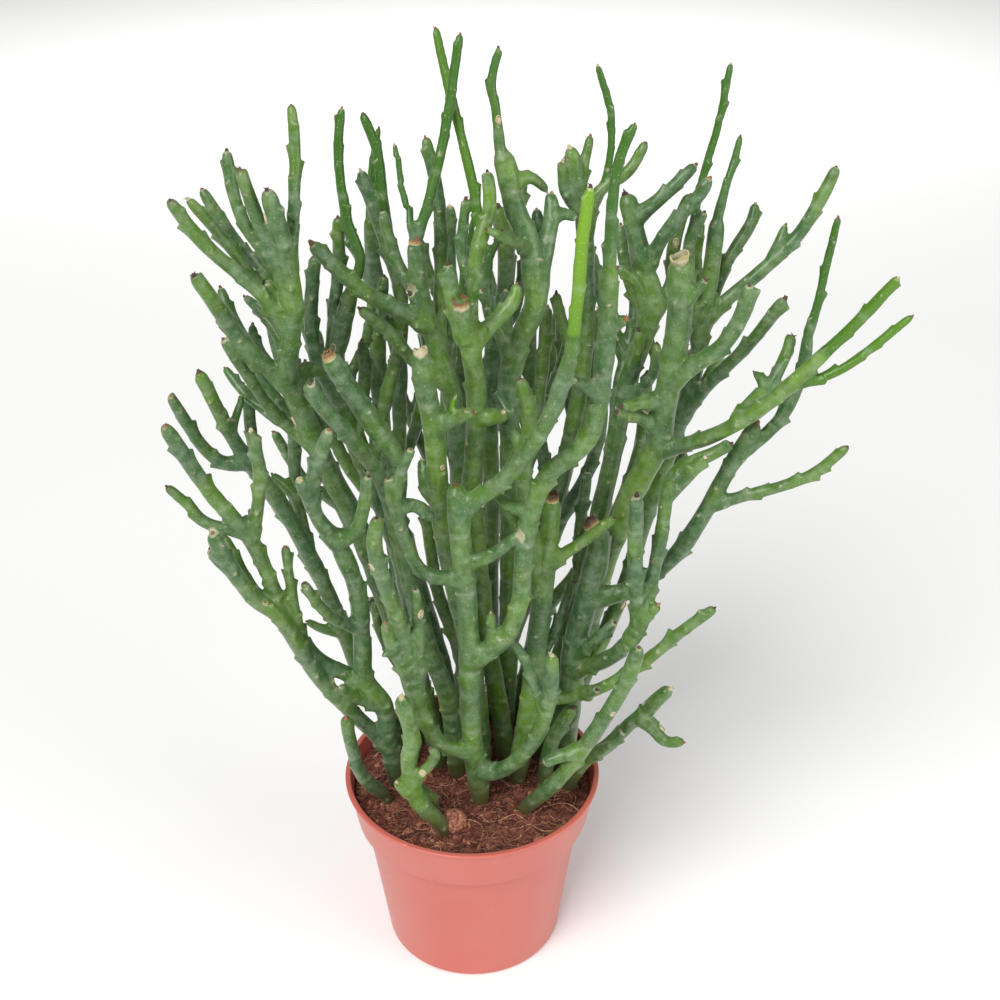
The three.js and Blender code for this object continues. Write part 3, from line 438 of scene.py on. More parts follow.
    limb(250, 4.2, [[-22, 134, 276], [-44, 150, 318], [-58, 158, 364]], [
      limb(316, 3.4, [[-36, 164, 348], [-34, 170, 384]], []),
    ]),
    limb(330, 3.6, [[8, 158, 356], [20, 168, 392]], []),
    shoot(404, 2.4, [[-4, 164, 436], [2, 164, 462]], []),
  ]),
]

# Trunks whose old top broke off: how wide the ragged cup at the top opens, and how its tissue dried.
TORN_SHADES = {"dark": 0.08, "rust": 0.33, "straw": 0.72}
TORN_TOPS = {
    "stem_centre_left": (0.95, "straw"),
    "stem_centre": (1.08, "rust"),
    "stem_bright_right": (1.12, "straw"),
    "stem_right": (0.75, "dark"),
    "stem_front_fork": (0.8, "rust"),
    "stem_centre_right": (0.85, "dark"),
    "stem_tall_left": (0.9, "rust"),
}


# ---------------------------------------------------------------------------------------------
# Colour and node helpers

def linear(code):
    """An sRGB hex colour as linear red, green, blue and alpha."""
    values = [int(code[i:i + 2], 16) / 255 for i in (1, 3, 5)]
    return [v / 12.92 if v <= 0.04045 else ((v + 0.055) / 1.055) ** 2.4 for v in values] + [1.0]


def colour(name, description, code):
    return bpy.props.FloatVectorProperty(
        name=name, description=description, default=linear(code), size=4, subtype="COLOR", min=0.0, max=1.0)


def length(name, description, default):
    return bpy.props.FloatProperty(name=name, description=description, default=default, unit="LENGTH")


def power(name, description, default):
    return bpy.props.FloatProperty(name=name, description=description, default=default, unit="POWER")


def count(name, description, default):
    return bpy.props.IntProperty(name=name, description=description, default=default, min=1)


class Shader:
    """A material's node tree, with the one function that adds a node to it."""

    def __init__(self, name):
        self.material = bpy.data.materials.new(name)
        self.material.use_nodes = True
        self.tree = self.material.node_tree
        self.tree.nodes.clear()
        self.surface = self.add("ShaderNodeBsdfPrincipled")
        output = self.add("ShaderNodeOutputMaterial")
        self.tree.links.new(self.surface.outputs[0], output.inputs["Surface"])

    def add(self, kind, inputs=None, stops=None, **settings):
        """A new node. An input is a plain value or another node's output; stops fill a colour ramp."""
        node = self.tree.nodes.new(kind)
        for key, value in settings.items():
            setattr(node, key, value)
        if stops:
            ramp = node.color_ramp
            for place, shade in stops:
                near = [e for e in ramp.elements if abs(e.position - place) < 1e-4]
                element = near[0] if near else ramp.elements.new(place)
                element.color = shade
        for key, value in (inputs or {}).items():
            socket = node.inputs[key]
            if isinstance(value, bpy.types.NodeSocket):
                self.tree.links.new(value, socket)
            else:
                socket.default_value = value
        return node


def mixed(shader, low, high, share, blend="MIX"):
    """The colour output of a mix of two colours or colour outputs."""
    node = shader.add("ShaderNodeMix", {0: share, 6: low, 7: high}, data_type="RGBA", blend_type=blend)
    return node.outputs[2]


def ramped(shader, value, low, high, shades=(0.0, 1.0)):
    """A value stretched so that low to high becomes the two shades, clamped."""
    node = shader.add("ShaderNodeMapRange", {0: value, 1: low, 2: high, 3: shades[0], 4: shades[1]})
    return node.outputs[0]


def noised(shader, place, period, detail=2.0, roughness=0.5):
    """Noise between 0 and 1 whose blotches are about a period across, in metres."""
    node = shader.add("ShaderNodeTexNoise", {"Vector": place, "Scale": 1 / period, "Detail": detail,
                                             "Roughness": roughness})
    return node.outputs[0]


# ---------------------------------------------------------------------------------------------
# Mesh helpers

def mesh_of(bm, name):
    """A bmesh, in millimetres, as a mesh in metres."""
    bmesh.ops.scale(bm, vec=(MM, MM, MM), verts=bm.verts)
    mesh = bpy.data.meshes.new(name)
    bm.to_mesh(mesh)
    bm.free()
    return mesh


def corners(mesh):
    """The places of a mesh's vertices as rows, in millimetres."""
    flat = np.empty(len(mesh.vertices) * 3, np.float32)
    mesh.vertices.foreach_get("co", flat)
    return flat.reshape(-1, 3).astype(float) / MM


def set_corners(mesh, rows):
    mesh.vertices.foreach_set("co", (rows * MM).astype(np.float32).ravel())
    mesh.update()


def paint(mesh, name, values):
    """A number for each vertex, which the materials read by its name."""
    layer = mesh.attributes.new(name, "FLOAT", "POINT")
    layer.data.foreach_set("value", np.asarray(values, np.float32))


def shown(name, mesh, material, stands_for=()):
    """A finished piece, riding on the pot and plant's one body."""
    piece = bpy.data.objects.new(name, mesh)
    bpy.context.scene.collection.objects.link(piece)
    mesh.materials.clear()
    mesh.materials.append(material)
    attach(piece, "root")
    for node in stands_for:
        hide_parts(node)
    return piece


def modified(mesh, *modifiers):
    """A mesh with modifiers applied, each a kind and its settings."""
    holder = bpy.data.objects.new("holder", mesh)
    bpy.context.scene.collection.objects.link(holder)
    for kind, settings in modifiers:
        modifier = holder.modifiers.new(kind.lower(), kind)
        for key, value in settings.items():
            setattr(modifier, key, value)
    result = bpy.data.meshes.new_from_object(holder.evaluated_get(bpy.context.evaluated_depsgraph_get()))
    bpy.data.objects.remove(holder)
    bpy.data.meshes.remove(mesh)
    return result


def absorb(bm, piece):
    """Adds a small bmesh to a larger one and frees it."""
    part = bpy.data.meshes.new("part")
    piece.to_mesh(part)
    piece.free()
    bm.from_mesh(part)
    bpy.data.meshes.remove(part)


def posed(place, turn, size):
    """The matrix that sets a unit shape at a place, turned and sized."""
    return Matrix.LocRotScale(place, turn, Vector((size, size, size)))


def swept(bm, places, radii, sides):
    """Adds a closed rod: a ring at the first place, extruded from place to place with its radius."""
    places = [Vector(place) for place in places]
    turn = (places[1] - places[0]).to_track_quat("Z", "Y")
    pose = posed(places[0], turn, radii[0])
    ring = bmesh.ops.create_circle(bm, cap_ends=True, segments=sides, radius=1.0, matrix=pose)["verts"]
    edges = list({edge for vert in ring for edge in vert.link_edges})
    for i in range(1, len(places)):
        ahead = (places[min(i + 1, len(places) - 1)] - places[i - 1]).normalized()
        turn = (turn @ Vector((0, 0, 1))).rotation_difference(ahead) @ turn
        next_pose = posed(places[i], turn, radii[i])
        made = bmesh.ops.extrude_edge_only(bm, edges=edges)["geom"]
        ring = [part for part in made if isinstance(part, bmesh.types.BMVert)]
        inside = set(ring)
        edges = [e for e in made if isinstance(e, bmesh.types.BMEdge) and inside.issuperset(e.verts)]
        bmesh.ops.transform(bm, matrix=next_pose @ pose.inverted(), verts=ring)
        pose = next_pose
    bmesh.ops.contextual_create(bm, geom=edges)


def copied(template, total, name):
    """A mesh of many copies of a template, and their vertices as (copy, vertex, xyz) in millimetres."""
    bm = bmesh.new()
    for _ in range(total):
        bm.from_mesh(template)
    mesh = bpy.data.meshes.new(name)
    bm.to_mesh(mesh)
    bm.free()
    return mesh, corners(mesh).reshape(total, -1, 3)


# ---------------------------------------------------------------------------------------------
# Growing a stem

# Paths, in millimetres, and the steps that each span of a curve is drawn in before it is evened out.
PATH_STEP = 1.5
SPAN_STEPS = 24

# Tips, as shares of the radius there; the corner turns that round one off, and a stub's blunter ones.
TIP_TAPER = 0.88
TIP_LENGTH = 0.6
TIP_SETBACK = 0.4
ROUND_TURNS = (0.0, 0.45, 0.85, 1.2, 1.45)
BLUNT_TURNS = (0.0, 0.3, 0.45, 0.6)
TIP_NARROWING, STUB_NARROWING, NARROWING_LENGTH = 0.3, 0.12, 4.5

# How a rod's girth wanders, swells and narrows: shares of its radius, and lengths in millimetres.
WANDER, WANDER_PERIOD = 0.09, 17
COLLAR_NARROWING, COLLAR_LENGTH = 0.22, 14
LIMB_FLARE, SHOOT_FLARE, FLARE_LENGTH = 0.42, 0.2, 5.5
WAIST_DEPTH, WAIST_LENGTH = 0.045, 2.0
SWELLING, SWELLING_AFTER, SWELLING_LENGTH = 0.04, 7, 6.0

# Growth rings: the first one's distance from the join, the spacing, and the length kept clear at the tip.
FIRST_RING = (18, 60)
RING_SPACING = (38, 80)
RING_CLEAR = 14
RING_WIDTH = 1.6

# The skin: what smoothing takes off the girth, the sides of a rod, how finely the rods are fused, and how
# the fused skin is smoothed.
SMOOTHING_LOSS = 0.25
FUSING_SIDES = 10
FUSING_STEP = 1.1
FUSING_SMOOTHNESS, FUSING_SMOOTHINGS = 0.5, 6

# How fresh the green of a shoot is, by the stem it grows on and the height where it leaves its limb.
VIVID_SHOOTS = {
    ("stem_front_centre", 461): 1.0,
    ("stem_centre_left", 406): 1.0,
    ("stem_bright_right", 441): 0.6,
    ("stem_bright_right", 424): 0.6,
    ("stem_centre_back", 470): 0.5,
}
OLDER_SHOOTS = 0.32
# A shoot turns fresh over this length from its join, and then ripens from this share to all of it.
FRESHENING = 6
RIPE_FROM, RIPENING = 0.7, 200
# What a rod counts as having left past its tip where a shoot carries it on, so that it isn't withered.
TOPPED_LENGTH = 10

Rod = namedtuple("Rod", "kind radius path along buried youth topped")
Samples = namedtuple("Samples", "centre ahead radius rod along left young ring tree")


def smooth_path(points):
    """Evenly spaced places on the centripetal Catmull-Rom curve through the points."""
    points = np.array(points, float)
    ends = np.vstack([2 * points[0] - points[1], points, 2 * points[-1] - points[-2]])
    rows = []
    for p0, p1, p2, p3 in zip(ends, ends[1:], ends[2:], ends[3:]):
        d0, d1, d2 = (math.sqrt(np.linalg.norm(b - a)) for a, b in ((p0, p1), (p1, p2), (p2, p3)))
        leave = ((p1 - p0) / d0 - (p2 - p0) / (d0 + d1) + (p2 - p1) / d1) * d1
        arrive = ((p2 - p1) / d1 - (p3 - p1) / (d1 + d2) + (p3 - p2) / d2) * d1
        t = np.linspace(0, 1, SPAN_STEPS, endpoint=False)[:, None]
        rows.append((2 * t**3 - 3 * t**2 + 1) * p1 + (t**3 - 2 * t**2 + t) * leave
                    + (3 * t**2 - 2 * t**3) * p2 + (t**3 - t**2) * arrive)
    fine = np.vstack(rows + [points[-1:]])
    run = np.concatenate([[0], np.cumsum(np.linalg.norm(np.diff(fine, axis=0), axis=1))])
    even = np.linspace(0, run[-1], max(4, round(run[-1] / PATH_STEP)) + 1)
    return np.column_stack([np.interp(even, run, fine[:, axis]) for axis in range(3)]), even


def at_height(path, height):
    """The first place on a path that is at a height."""
    for low, high in zip(path, path[1:]):
        if (low[2] - height) * (high[2] - height) <= 0 and low[2] != high[2]:
            return low + (high - low) * (height - low[2]) / (high[2] - low[2])
    raise ValueError(f"a limb leaves its parent at {height} mm, which the parent never reaches")


def rods_of(name, growth, start=(), buried=0.0):
    """The rods of a stem: its trunk first, then limbs on limbs."""
    path, along = smooth_path([*start, *growth.points])
    youth = VIVID_SHOOTS.get((name, growth.height), OLDER_SHOOTS) if growth.kind == "shoot" else 0.0
    joins = [at_height(path, child.height) for child in growth.limbs]
    topped = any(np.linalg.norm(join - path[-1]) < 2 * growth.radius for join in joins)
    rods = [Rod(growth.kind, growth.radius, path, along, buried, youth, topped)]
    for child, join in zip(growth.limbs, joins):
        rods += rods_of(name, child, [join], growth.radius)
    return rods


def ring_places(rod, draw):
    """Where growth stopped and started again: a slight waist here and there, with a pale ring."""
    places = []
    place = rod.buried + draw.uniform(*FIRST_RING)
    while place < rod.along[-1] - RING_CLEAR:
        places.append(place)
        place += draw.uniform(*RING_SPACING)
    return np.array(places)


def girths(rod, rings, draw):
    """A rod's radius along its path: it tapers, wanders, flares at its join and narrows at each ring."""
    share = rod.along / rod.along[-1]
    radius = rod.radius * (1 + (TIP_TAPER - 1) * share)
    shift = draw.uniform(0, 100)
    wander = np.array([noise.noise(Vector((s / WANDER_PERIOD, shift, 0))) for s in rod.along])
    radius *= 1 + WANDER * wander
    narrowing = STUB_NARROWING if rod.kind == "stub" else TIP_NARROWING
    radius *= 1 - narrowing * np.exp(-(rod.along[-1] - rod.along) / NARROWING_LENGTH)
    if rod.kind == "trunk":
        radius *= 1 - COLLAR_NARROWING * np.exp(-((rod.along - COLLAR_LENGTH) / COLLAR_LENGTH) ** 2)
    else:
        clear = np.maximum(rod.along - rod.buried, 0)
        flare = SHOOT_FLARE if rod.kind == "shoot" else LIMB_FLARE
        radius *= 1 + flare * np.exp(-clear / FLARE_LENGTH)
    for place in rings:
        off = rod.along - place
        waist = WAIST_DEPTH * np.exp(-(off / WAIST_LENGTH) ** 2)
        radius *= 1 - waist + SWELLING * np.exp(-((off - SWELLING_AFTER) / SWELLING_LENGTH) ** 2)
    return radius


def rod_ends(rod, radii):
    """The path and radii with the tip rounded in short steps. It stops short, to leave room for a nub."""
    reach = TIP_LENGTH * radii[-1]
    setback = TIP_SETBACK * radii[-1]
    ahead = (rod.path[-1] - rod.path[-2]) / np.linalg.norm(rod.path[-1] - rod.path[-2])
    tip = rod.path[-1] - ahead * setback
    turns = BLUNT_TURNS if rod.kind == "stub" else ROUND_TURNS
    extra = [tip - ahead * reach * (1 - math.sin(turn)) for turn in turns]
    closing = [radii[-1] * math.cos(turn) for turn in turns]
    body = np.flatnonzero(rod.along < rod.along[-1] - setback - reach - 0.5)[::2]
    return np.vstack([rod.path[body], *extra]), np.concatenate([radii[body], closing])


def sampled(rods, radii, rings):
    """Every place along a stem's rods, with what the skin there needs to know, and a search tree."""
    rows = []
    for number, (rod, radius, waists) in enumerate(zip(rods, radii, rings)):
        ahead = np.gradient(rod.path, axis=0)
        ahead /= np.linalg.norm(ahead, axis=1)[:, None]
        near = np.zeros(len(rod.along))
        for place in waists:
            near = np.maximum(near, np.exp(-((rod.along - place) / RING_WIDTH) ** 2))
        left = rod.along[-1] - rod.along + (TOPPED_LENGTH if rod.topped else 0)
        clear = np.maximum(rod.along - rod.buried - 1, 0)
        young = rod.youth * np.minimum(clear / FRESHENING, 1) * np.minimum(RIPE_FROM + clear / RIPENING, 1)
        rows.append(np.column_stack([rod.path, ahead, radius, np.full(len(near), number), rod.along, left,
                                     young, near]))
    table = np.vstack(rows)
    tree = KDTree(len(table))
    for i, place in enumerate(table[:, :3]):
        tree.insert(place, i)
    tree.balance()
    return Samples(table[:, :3], table[:, 3:6], table[:, 6], table[:, 7].astype(int), table[:, 8],
                   table[:, 9], table[:, 10], table[:, 11], tree)


# Spacing of the leaf scars along a rod, and how far their shoulders stand proud, by kind of growth.
SCAR_SPACING = {"trunk": 9.0, "limb": 7.5, "shoot": 12.0, "stub": 7.0}
SCAR_HEIGHT = {"trunk": 1.7, "limb": 2.3, "shoot": 1.9, "stub": 1.3}
# How far those two spread about their usual values, and how far a scar strays from the spiral.
SPACING_SPREAD, SCAR_SPREAD, SCAR_STRAY = (0.7, 1.3), (0.3, 1.3), 0.35
# How strongly a scar can be coloured, and where on a rod the first and last ones lie.
SCAR_MARKS = (0.1, 0.25, 0.5, 0.8)
FIRST_SCAR, FIRST_TRUNK_SCAR, LAST_SCAR = 5, 22, 2
# The swelling under a scar: the length it rises over and how late, its step down, its width, how far it
# reaches into the stem, and how much it leans up the stem.
RISE_LENGTH, RISE_POWER, STEP_LENGTH, SCAR_WIDTH, SCAR_REACH, SCAR_LEAN = 11, 2.2, 1.4, 2.1, 4, 0.25
# The corky spot on a scar: where it lies under the step, its length and width, and its reach inwards.
SPOT_UNDER, SPOT_LENGTH, SPOT_WIDTH, SPOT_REACH = 0.3, 0.7, 1.0, 2
# The skin that a scar changes is looked for round a place behind it.
SEARCH_BEHIND, SEARCH_RADIUS = 4, 9
Scar = namedtuple("Scar", "place ahead out size mark")


def leaf_scars(rods, samples, draw):
    """Where leaves fell off: a spiral of low shoulders up every rod, missed out inside other rods."""
    scars = []
    for number, rod in enumerate(rods):
        rows = np.flatnonzero(samples.rod == number)
        angle = draw.uniform(0, TAU)
        place = rod.buried + FIRST_SCAR if rod.kind != "trunk" else FIRST_TRUNK_SCAR
        while place < rod.along[-1] - LAST_SCAR:
            row = rows[np.argmin(abs(samples.along[rows] - place))]
            ahead = Vector(samples.ahead[row])
            side = ahead.orthogonal().normalized()
            side.rotate(Matrix.Rotation(angle, 3, ahead))
            centre = Vector(samples.centre[row])
            spot = centre + side * samples.radius[row]
            nearest = samples.tree.find(spot)[1]
            if samples.rod[nearest] == number:
                size = SCAR_HEIGHT[rod.kind] * draw.uniform(*SCAR_SPREAD)
                scars.append(Scar(spot, ahead, side, size, draw.choice(SCAR_MARKS)))
            angle += GOLDEN_TURN + draw.uniform(-SCAR_STRAY, SCAR_STRAY)
            place += SCAR_SPACING[rod.kind] * draw.uniform(*SPACING_SPREAD)
    return scars


def shouldered(rows, scars):
    """Raises the skin at each scar: it swells slowly up the stem, then steps back in. Marks the steps too."""
    tree = KDTree(len(rows))
    for i, row in enumerate(rows):
        tree.insert(row, i)
    tree.balance()
    lift = np.zeros_like(rows)
    mark = np.zeros(len(rows))
    for scar in scars:
        found = [i for _, i, _ in tree.find_range(scar.place - scar.ahead * SEARCH_BEHIND, SEARCH_RADIUS)]
        if not found:
            continue
        off = rows[found] - np.array(scar.place)
        up = off @ np.array(scar.ahead)
        across = off @ np.array(scar.ahead.cross(scar.out))
        inward = off @ np.array(scar.out)
        rise = np.clip((up + RISE_LENGTH) / RISE_LENGTH, 0, 1) ** RISE_POWER
        step = np.clip(1 - up / STEP_LENGTH, 0, 1)
        height = scar.size * np.where(up < 0, rise, step) * np.exp(-(across / SCAR_WIDTH) ** 2)
        height *= inward > -SCAR_REACH
        lift[found] += height[:, None] * (np.array(scar.out) + SCAR_LEAN * np.array(scar.ahead))
        spot = np.exp(-((up + SPOT_UNDER) / SPOT_LENGTH) ** 2 - (across / SPOT_WIDTH) ** 2)
        mark[found] = np.maximum(mark[found], scar.mark * spot * (inward > -SPOT_REACH))
    return rows + lift, mark


def grown_skin(name, rods, radii, samples, scars, tone):
    """One stem's skin: its rods fused into one body, smoothed at the forks, with its leaf scars."""
    bm = bmesh.new()
    for rod, radius in zip(rods, radii):
        piece = bmesh.new()
        path, girth = rod_ends(rod, radius)
        swept(piece, path, girth + SMOOTHING_LOSS, FUSING_SIDES)
        bmesh.ops.recalc_face_normals(piece, faces=piece.faces)
        absorb(bm, piece)
    fused = modified(mesh_of(bm, name),
                     ("REMESH", {"mode": "VOXEL", "voxel_size": FUSING_STEP * MM, "use_smooth_shade": True}),
                     ("SMOOTH", {"factor": FUSING_SMOOTHNESS, "iterations": FUSING_SMOOTHINGS}))
    fused.name = name
    rows, mark = shouldered(corners(fused), scars)
    set_corners(fused, rows)
    near = np.array([samples.tree.find(row)[1] for row in rows])
    paint(fused, "tone", np.full(len(rows), tone))
    paint(fused, "young", samples.young[near])
    paint(fused, "ring", samples.ring[near])
    paint(fused, "scar", mark)
    paint(fused, "left", samples.left[near])
    fused.shade_smooth()
    return fused


# ---------------------------------------------------------------------------------------------
# Small dry parts of the stems

# Dried growing points: their size as a share of the tip's radius, how far they lean, how brown each one
# is, and how many dead scales it keeps. Radii, from base to point, are shares of that size.
NUB_SIZE = (0.32, 0.55)
NUB_LEAN = 0.6
NUB_SHADES = (0.05, 0.1, 0.18, 0.22, 0.3, 0.42, 0.75, 0.85)
NUB_RADII, NUB_SIDES = (1.25, 1, 0.55), 7
NUB_SCALES = (0, 0, 1, 1, 2)
SCALE_RADII, SCALE_SIDES = (0.42, 0.3, 0.08), 5


def dried_nubs(ends, draw):
    """The withered growing point on each tip: a short crooked peg, and on some a dead scale or two."""
    whole = bmesh.new()
    shades = []
    for place, ahead, radius in ends:
        bm = bmesh.new()
        lean = Vector([draw.uniform(-NUB_LEAN, NUB_LEAN) for _ in range(3)])
        size = radius * draw.uniform(*NUB_SIZE)
        base = place - ahead * radius * 0.8
        top = place + ahead * size * draw.uniform(-0.5, 0.5) + lean * size * 0.6
        middle = (base + top) / 2 + lean * 0.15
        swept(bm, [base, middle, top], [size * share for share in NUB_RADII], NUB_SIDES)
        for _ in range(draw.choice(NUB_SCALES)):
            side = ahead.orthogonal().normalized()
            side.rotate(Matrix.Rotation(draw.uniform(0, TAU), 3, ahead))
            foot = middle + side * size * 0.5
            bend = foot + ahead * size * 0.8 + side * size * 0.4
            point = foot + ahead * size * 1.3 + side * size * 1.1
            swept(bm, [foot, bend, point], [size * share for share in SCALE_RADII], SCALE_SIDES)
        bmesh.ops.recalc_face_normals(bm, faces=bm.faces)
        shades += [draw.choice(NUB_SHADES)] * len(bm.verts)
        absorb(whole, bm)
    mesh = mesh_of(whole, "dried_nubs")
    paint(mesh, "shade", shades)
    return mesh


# Torn tops, in millimetres: the sides of the cup, how deep its foot sits in the stem, the steps that its
# wall rises in with how much of its spread each one has, the wall's thickness, how ragged it is, how far
# the whole is sunk, and the height over which it dries from green.
CUP_SIDES, CUP_DEPTH, CUP_WALL, CUP_RAGGED, CUP_SUNK, CUP_DRYING = 22, 3, 0.9, 0.45, 2.5, 5.5
CUP_STEPS = ((3.0, 0.0), (1.4, 0.5), (1.2, 1.0))


def torn_cup(place, ahead, radius, spread, rim_shade, draw):
    """The ragged rim left where a thick stem broke off: half dried, from green at its foot to its own
    shade at the rim. Gives the shape and the shade at each of its corners."""
    bm = bmesh.new()
    turn = ahead.to_track_quat("Z", "Y")
    sides, low = CUP_SIDES, place - ahead * CUP_DEPTH
    ring = bmesh.ops.create_circle(bm, segments=sides, radius=radius * 0.98, matrix=posed(low, turn, 1))
    verts = ring["verts"]
    edges = list({edge for vert in verts for edge in vert.link_edges})
    shell = []
    waves = [draw.uniform(0, TAU) for _ in range(3)]
    for rise, share in CUP_STEPS:
        out = 1 + (spread - 1) * share
        made = bmesh.ops.extrude_edge_only(bm, edges=edges)["geom"]
        verts = [part for part in made if isinstance(part, bmesh.types.BMVert)]
        inside = set(verts)
        edges = [e for e in made if isinstance(e, bmesh.types.BMEdge) and inside.issuperset(e.verts)]
        shell += [part for part in made if isinstance(part, bmesh.types.BMFace)]
        bmesh.ops.translate(bm, vec=ahead * rise, verts=verts)
        middle = sum((v.co for v in verts), Vector()) / len(verts)
        for number, vert in enumerate(verts):
            angle = TAU * number / sides
            ragged = math.sin(angle + waves[0]) + 0.5 * math.sin(3 * angle + waves[1])
            ragged += draw.uniform(-0.5, 0.5)
            vert.co = middle + (vert.co - middle) * (radius * out / (vert.co - middle).length)
            vert.co += ahead * ragged * CUP_RAGGED
    bmesh.ops.recalc_face_normals(bm, faces=shell)
    bmesh.ops.solidify(bm, geom=shell, thickness=CUP_WALL)
    rises = [min(1.0, max(0.0, (vert.co - low).dot(ahead) / CUP_DRYING)) for vert in bm.verts]
    return bm, [1 + (rim_shade - 1) * rise for rise in rises]


# Corky buttons: how many a stem has, the lowest height and the least distance to a tip of one, and how
# far it lies up the stem from the leaf scar that it grew on.
BUTTONS, BUTTONS_ABOVE, BUTTONS_BELOW_TIP, BUTTON_SHIFT = 2, 180, 20, 4
BUTTON_SIZE = (1.5, 2.3)
BUTTON_STRETCH = (1.15, 1.6)
BUTTON_SIDES = 14
# Heights of a button, for one of unit radius, and its inward steps with how far each one rises.
BUTTON_FOOT, BUTTON_HEIGHT = -0.45, 0.55
BUTTON_STEPS = ((0.12, 0.13), (0.16, 0.0), (0.14, -0.2))
BUTTON_CORK, BUTTON_MIDDLE = 0.8, (0.1, 0.6)


def branch_scars(spots, draw):
    """Old cuts and shed twigs: oval corky buttons with a pale raised rim and a sunk dark middle."""
    whole = bmesh.new()
    shades = []
    for place, ahead, out, size in spots:
        bm = bmesh.new()
        disc = bmesh.ops.create_circle(bm, cap_ends=True, segments=BUTTON_SIDES, radius=1.0)
        face = disc["verts"][0].link_faces[0]
        bmesh.ops.translate(bm, vec=(0, 0, BUTTON_FOOT), verts=disc["verts"])
        face = bmesh.ops.extrude_discrete_faces(bm, faces=[face])["faces"][0]
        bmesh.ops.translate(bm, vec=(0, 0, BUTTON_HEIGHT), verts=face.verts)
        for inset, lift in BUTTON_STEPS:
            bmesh.ops.inset_region(bm, faces=[face], thickness=inset, depth=lift)
        turn = Matrix((ahead.cross(out), ahead, out)).transposed().to_quaternion()
        stretch = Vector((size, size * draw.uniform(*BUTTON_STRETCH), size))
        bmesh.ops.transform(bm, matrix=Matrix.LocRotScale(place, turn, stretch), verts=bm.verts)
        shades += [BUTTON_CORK] * (len(bm.verts) - BUTTON_SIDES)
        shades += [draw.uniform(*BUTTON_MIDDLE)] * BUTTON_SIDES
        absorb(whole, bm)
    mesh = mesh_of(whole, "branch_scars")
    paint(mesh, "shade", shades)
    return mesh


# ---------------------------------------------------------------------------------------------
# Soil

# The coir's surface, in millimetres: the rise of its crown, its lumps as height, width and where in the
# noise they are taken from, the heap round each stem and its spread, and how rough it stays at the rim.
CROWN_RISE = 2.0
SURFACE_LUMPS = ((3.0, 16, 3.1), (2.2, 6, 8.4), (1.5, 2.2, 5.0))
HEAP_RISE, HEAP_SPREAD = 1.3, 5
RIM_ROUGHNESS, RIM_SHARE = 0.35, 9
SOIL_RINGS, SOIL_SECTORS = 60, 210
# Its side: the foot's share of its radius, shares and heights at the pot's shelf, and the drop to its edge.
SOIL_FOOT = 0.75
SOIL_SHELF = ((0.91, 100.5), (0.97, 104))
SOIL_BANK = 2.0


def soil_height(x, y, base, edge_radius, feet):
    """The height of the coir's surface: a low crown with lumps and hollows, heaped round each stem."""
    away = math.hypot(x, y) / edge_radius
    rough = sum(rise * noise.noise(Vector((x / width, y / width, slice_at)))
                for rise, width, slice_at in SURFACE_LUMPS)
    rim = min(1.0, max(0.0, (1 - away) * RIM_SHARE))
    heap = max(math.exp(-((math.hypot(x - foot.x, y - foot.y) - reach) / HEAP_SPREAD) ** 2)
               for foot, reach in feet)
    rough *= RIM_ROUGHNESS + (1 - RIM_ROUGHNESS) * rim
    return base + CROWN_RISE * (1 - away * away) + rough + HEAP_RISE * heap * rim


def stem_feet():
    """Where each stem comes out of the soil, and its radius there."""
    return [(Vector(plan.growth.points[0]), plan.growth.radius) for plan in STEMS]


def coir_body(low, high, top, height_of):
    """The soil as a turned lump that fills the pot, with a rough top."""
    edge = high.x
    bm = bmesh.new()
    profile = [(0, low.z), (edge * SOIL_FOOT, low.z)]
    profile += [(edge * share, height) for share, height in SOIL_SHELF]
    profile += [(edge, top - SOIL_BANK)]
    rows = [bm.verts.new((r, 0, z)) for r, z in profile]
    edges = [bm.edges.new(pair) for pair in zip(rows, rows[1:])]
    last = rows[-1]
    for number in range(SOIL_RINGS):
        share = 1 - (number + 0.4) / SOIL_RINGS if number < SOIL_RINGS - 1 else 0
        radius = (edge - 0.2) * share
        vert = bm.verts.new((radius, 0, top))
        edges.append(bm.edges.new((last, vert)))
        last = vert
    bmesh.ops.spin(bm, geom=list(bm.verts) + edges, cent=(0, 0, 0), axis=(0, 0, 1), angle=TAU,
                   steps=SOIL_SECTORS, use_merge=True)
    bmesh.ops.remove_doubles(bm, verts=bm.verts, dist=0.01)
    bmesh.ops.recalc_face_normals(bm, faces=bm.faces)
    for vert in bm.verts:
        if vert.co.z > top - 1:
            vert.co.z = height_of(vert.co.x, vert.co.y)
    return mesh_of(bm, "coir_soil")


# Loose fibres: the thickness of a strand's two ends as shares of its middle, how far it can turn along its
# length, how high it can arch as a share of its length, how strongly the darker shades are favoured, and
# how deep its ends sink.
STRAND_ENDS = (0.5, 0.35)
STRAND_BEND, STRAND_ARCH, STRAND_DARKNESS, STRAND_SINK = 2.2, 0.12, 1.5, 0.4
# Sides and rings, then radius, length and lift in millimetres.
FIBRE_SHAPE, FIBRE_RADIUS, FIBRE_LENGTH, FIBRE_LIFT = (4, 7), (0.13, 0.26), (5, 20), 0.3
HAIR_SHAPE, HAIR_RADIUS, HAIR_LENGTH, HAIR_LIFT = (3, 6), (0.06, 0.11), (7, 26), 0.5


def strand_template(sides, rings):
    """A straight thin rod of unit length and radius, along X."""
    bm = bmesh.new()
    first, last = STRAND_ENDS
    swept(bm, [(i / (rings - 1), 0, 0) for i in range(rings)],
          [first] + [1.0] * (rings - 2) + [last], sides)
    bmesh.ops.recalc_face_normals(bm, faces=bm.faces)
    mesh = bpy.data.meshes.new("strand")
    bm.to_mesh(mesh)
    bm.free()
    return mesh


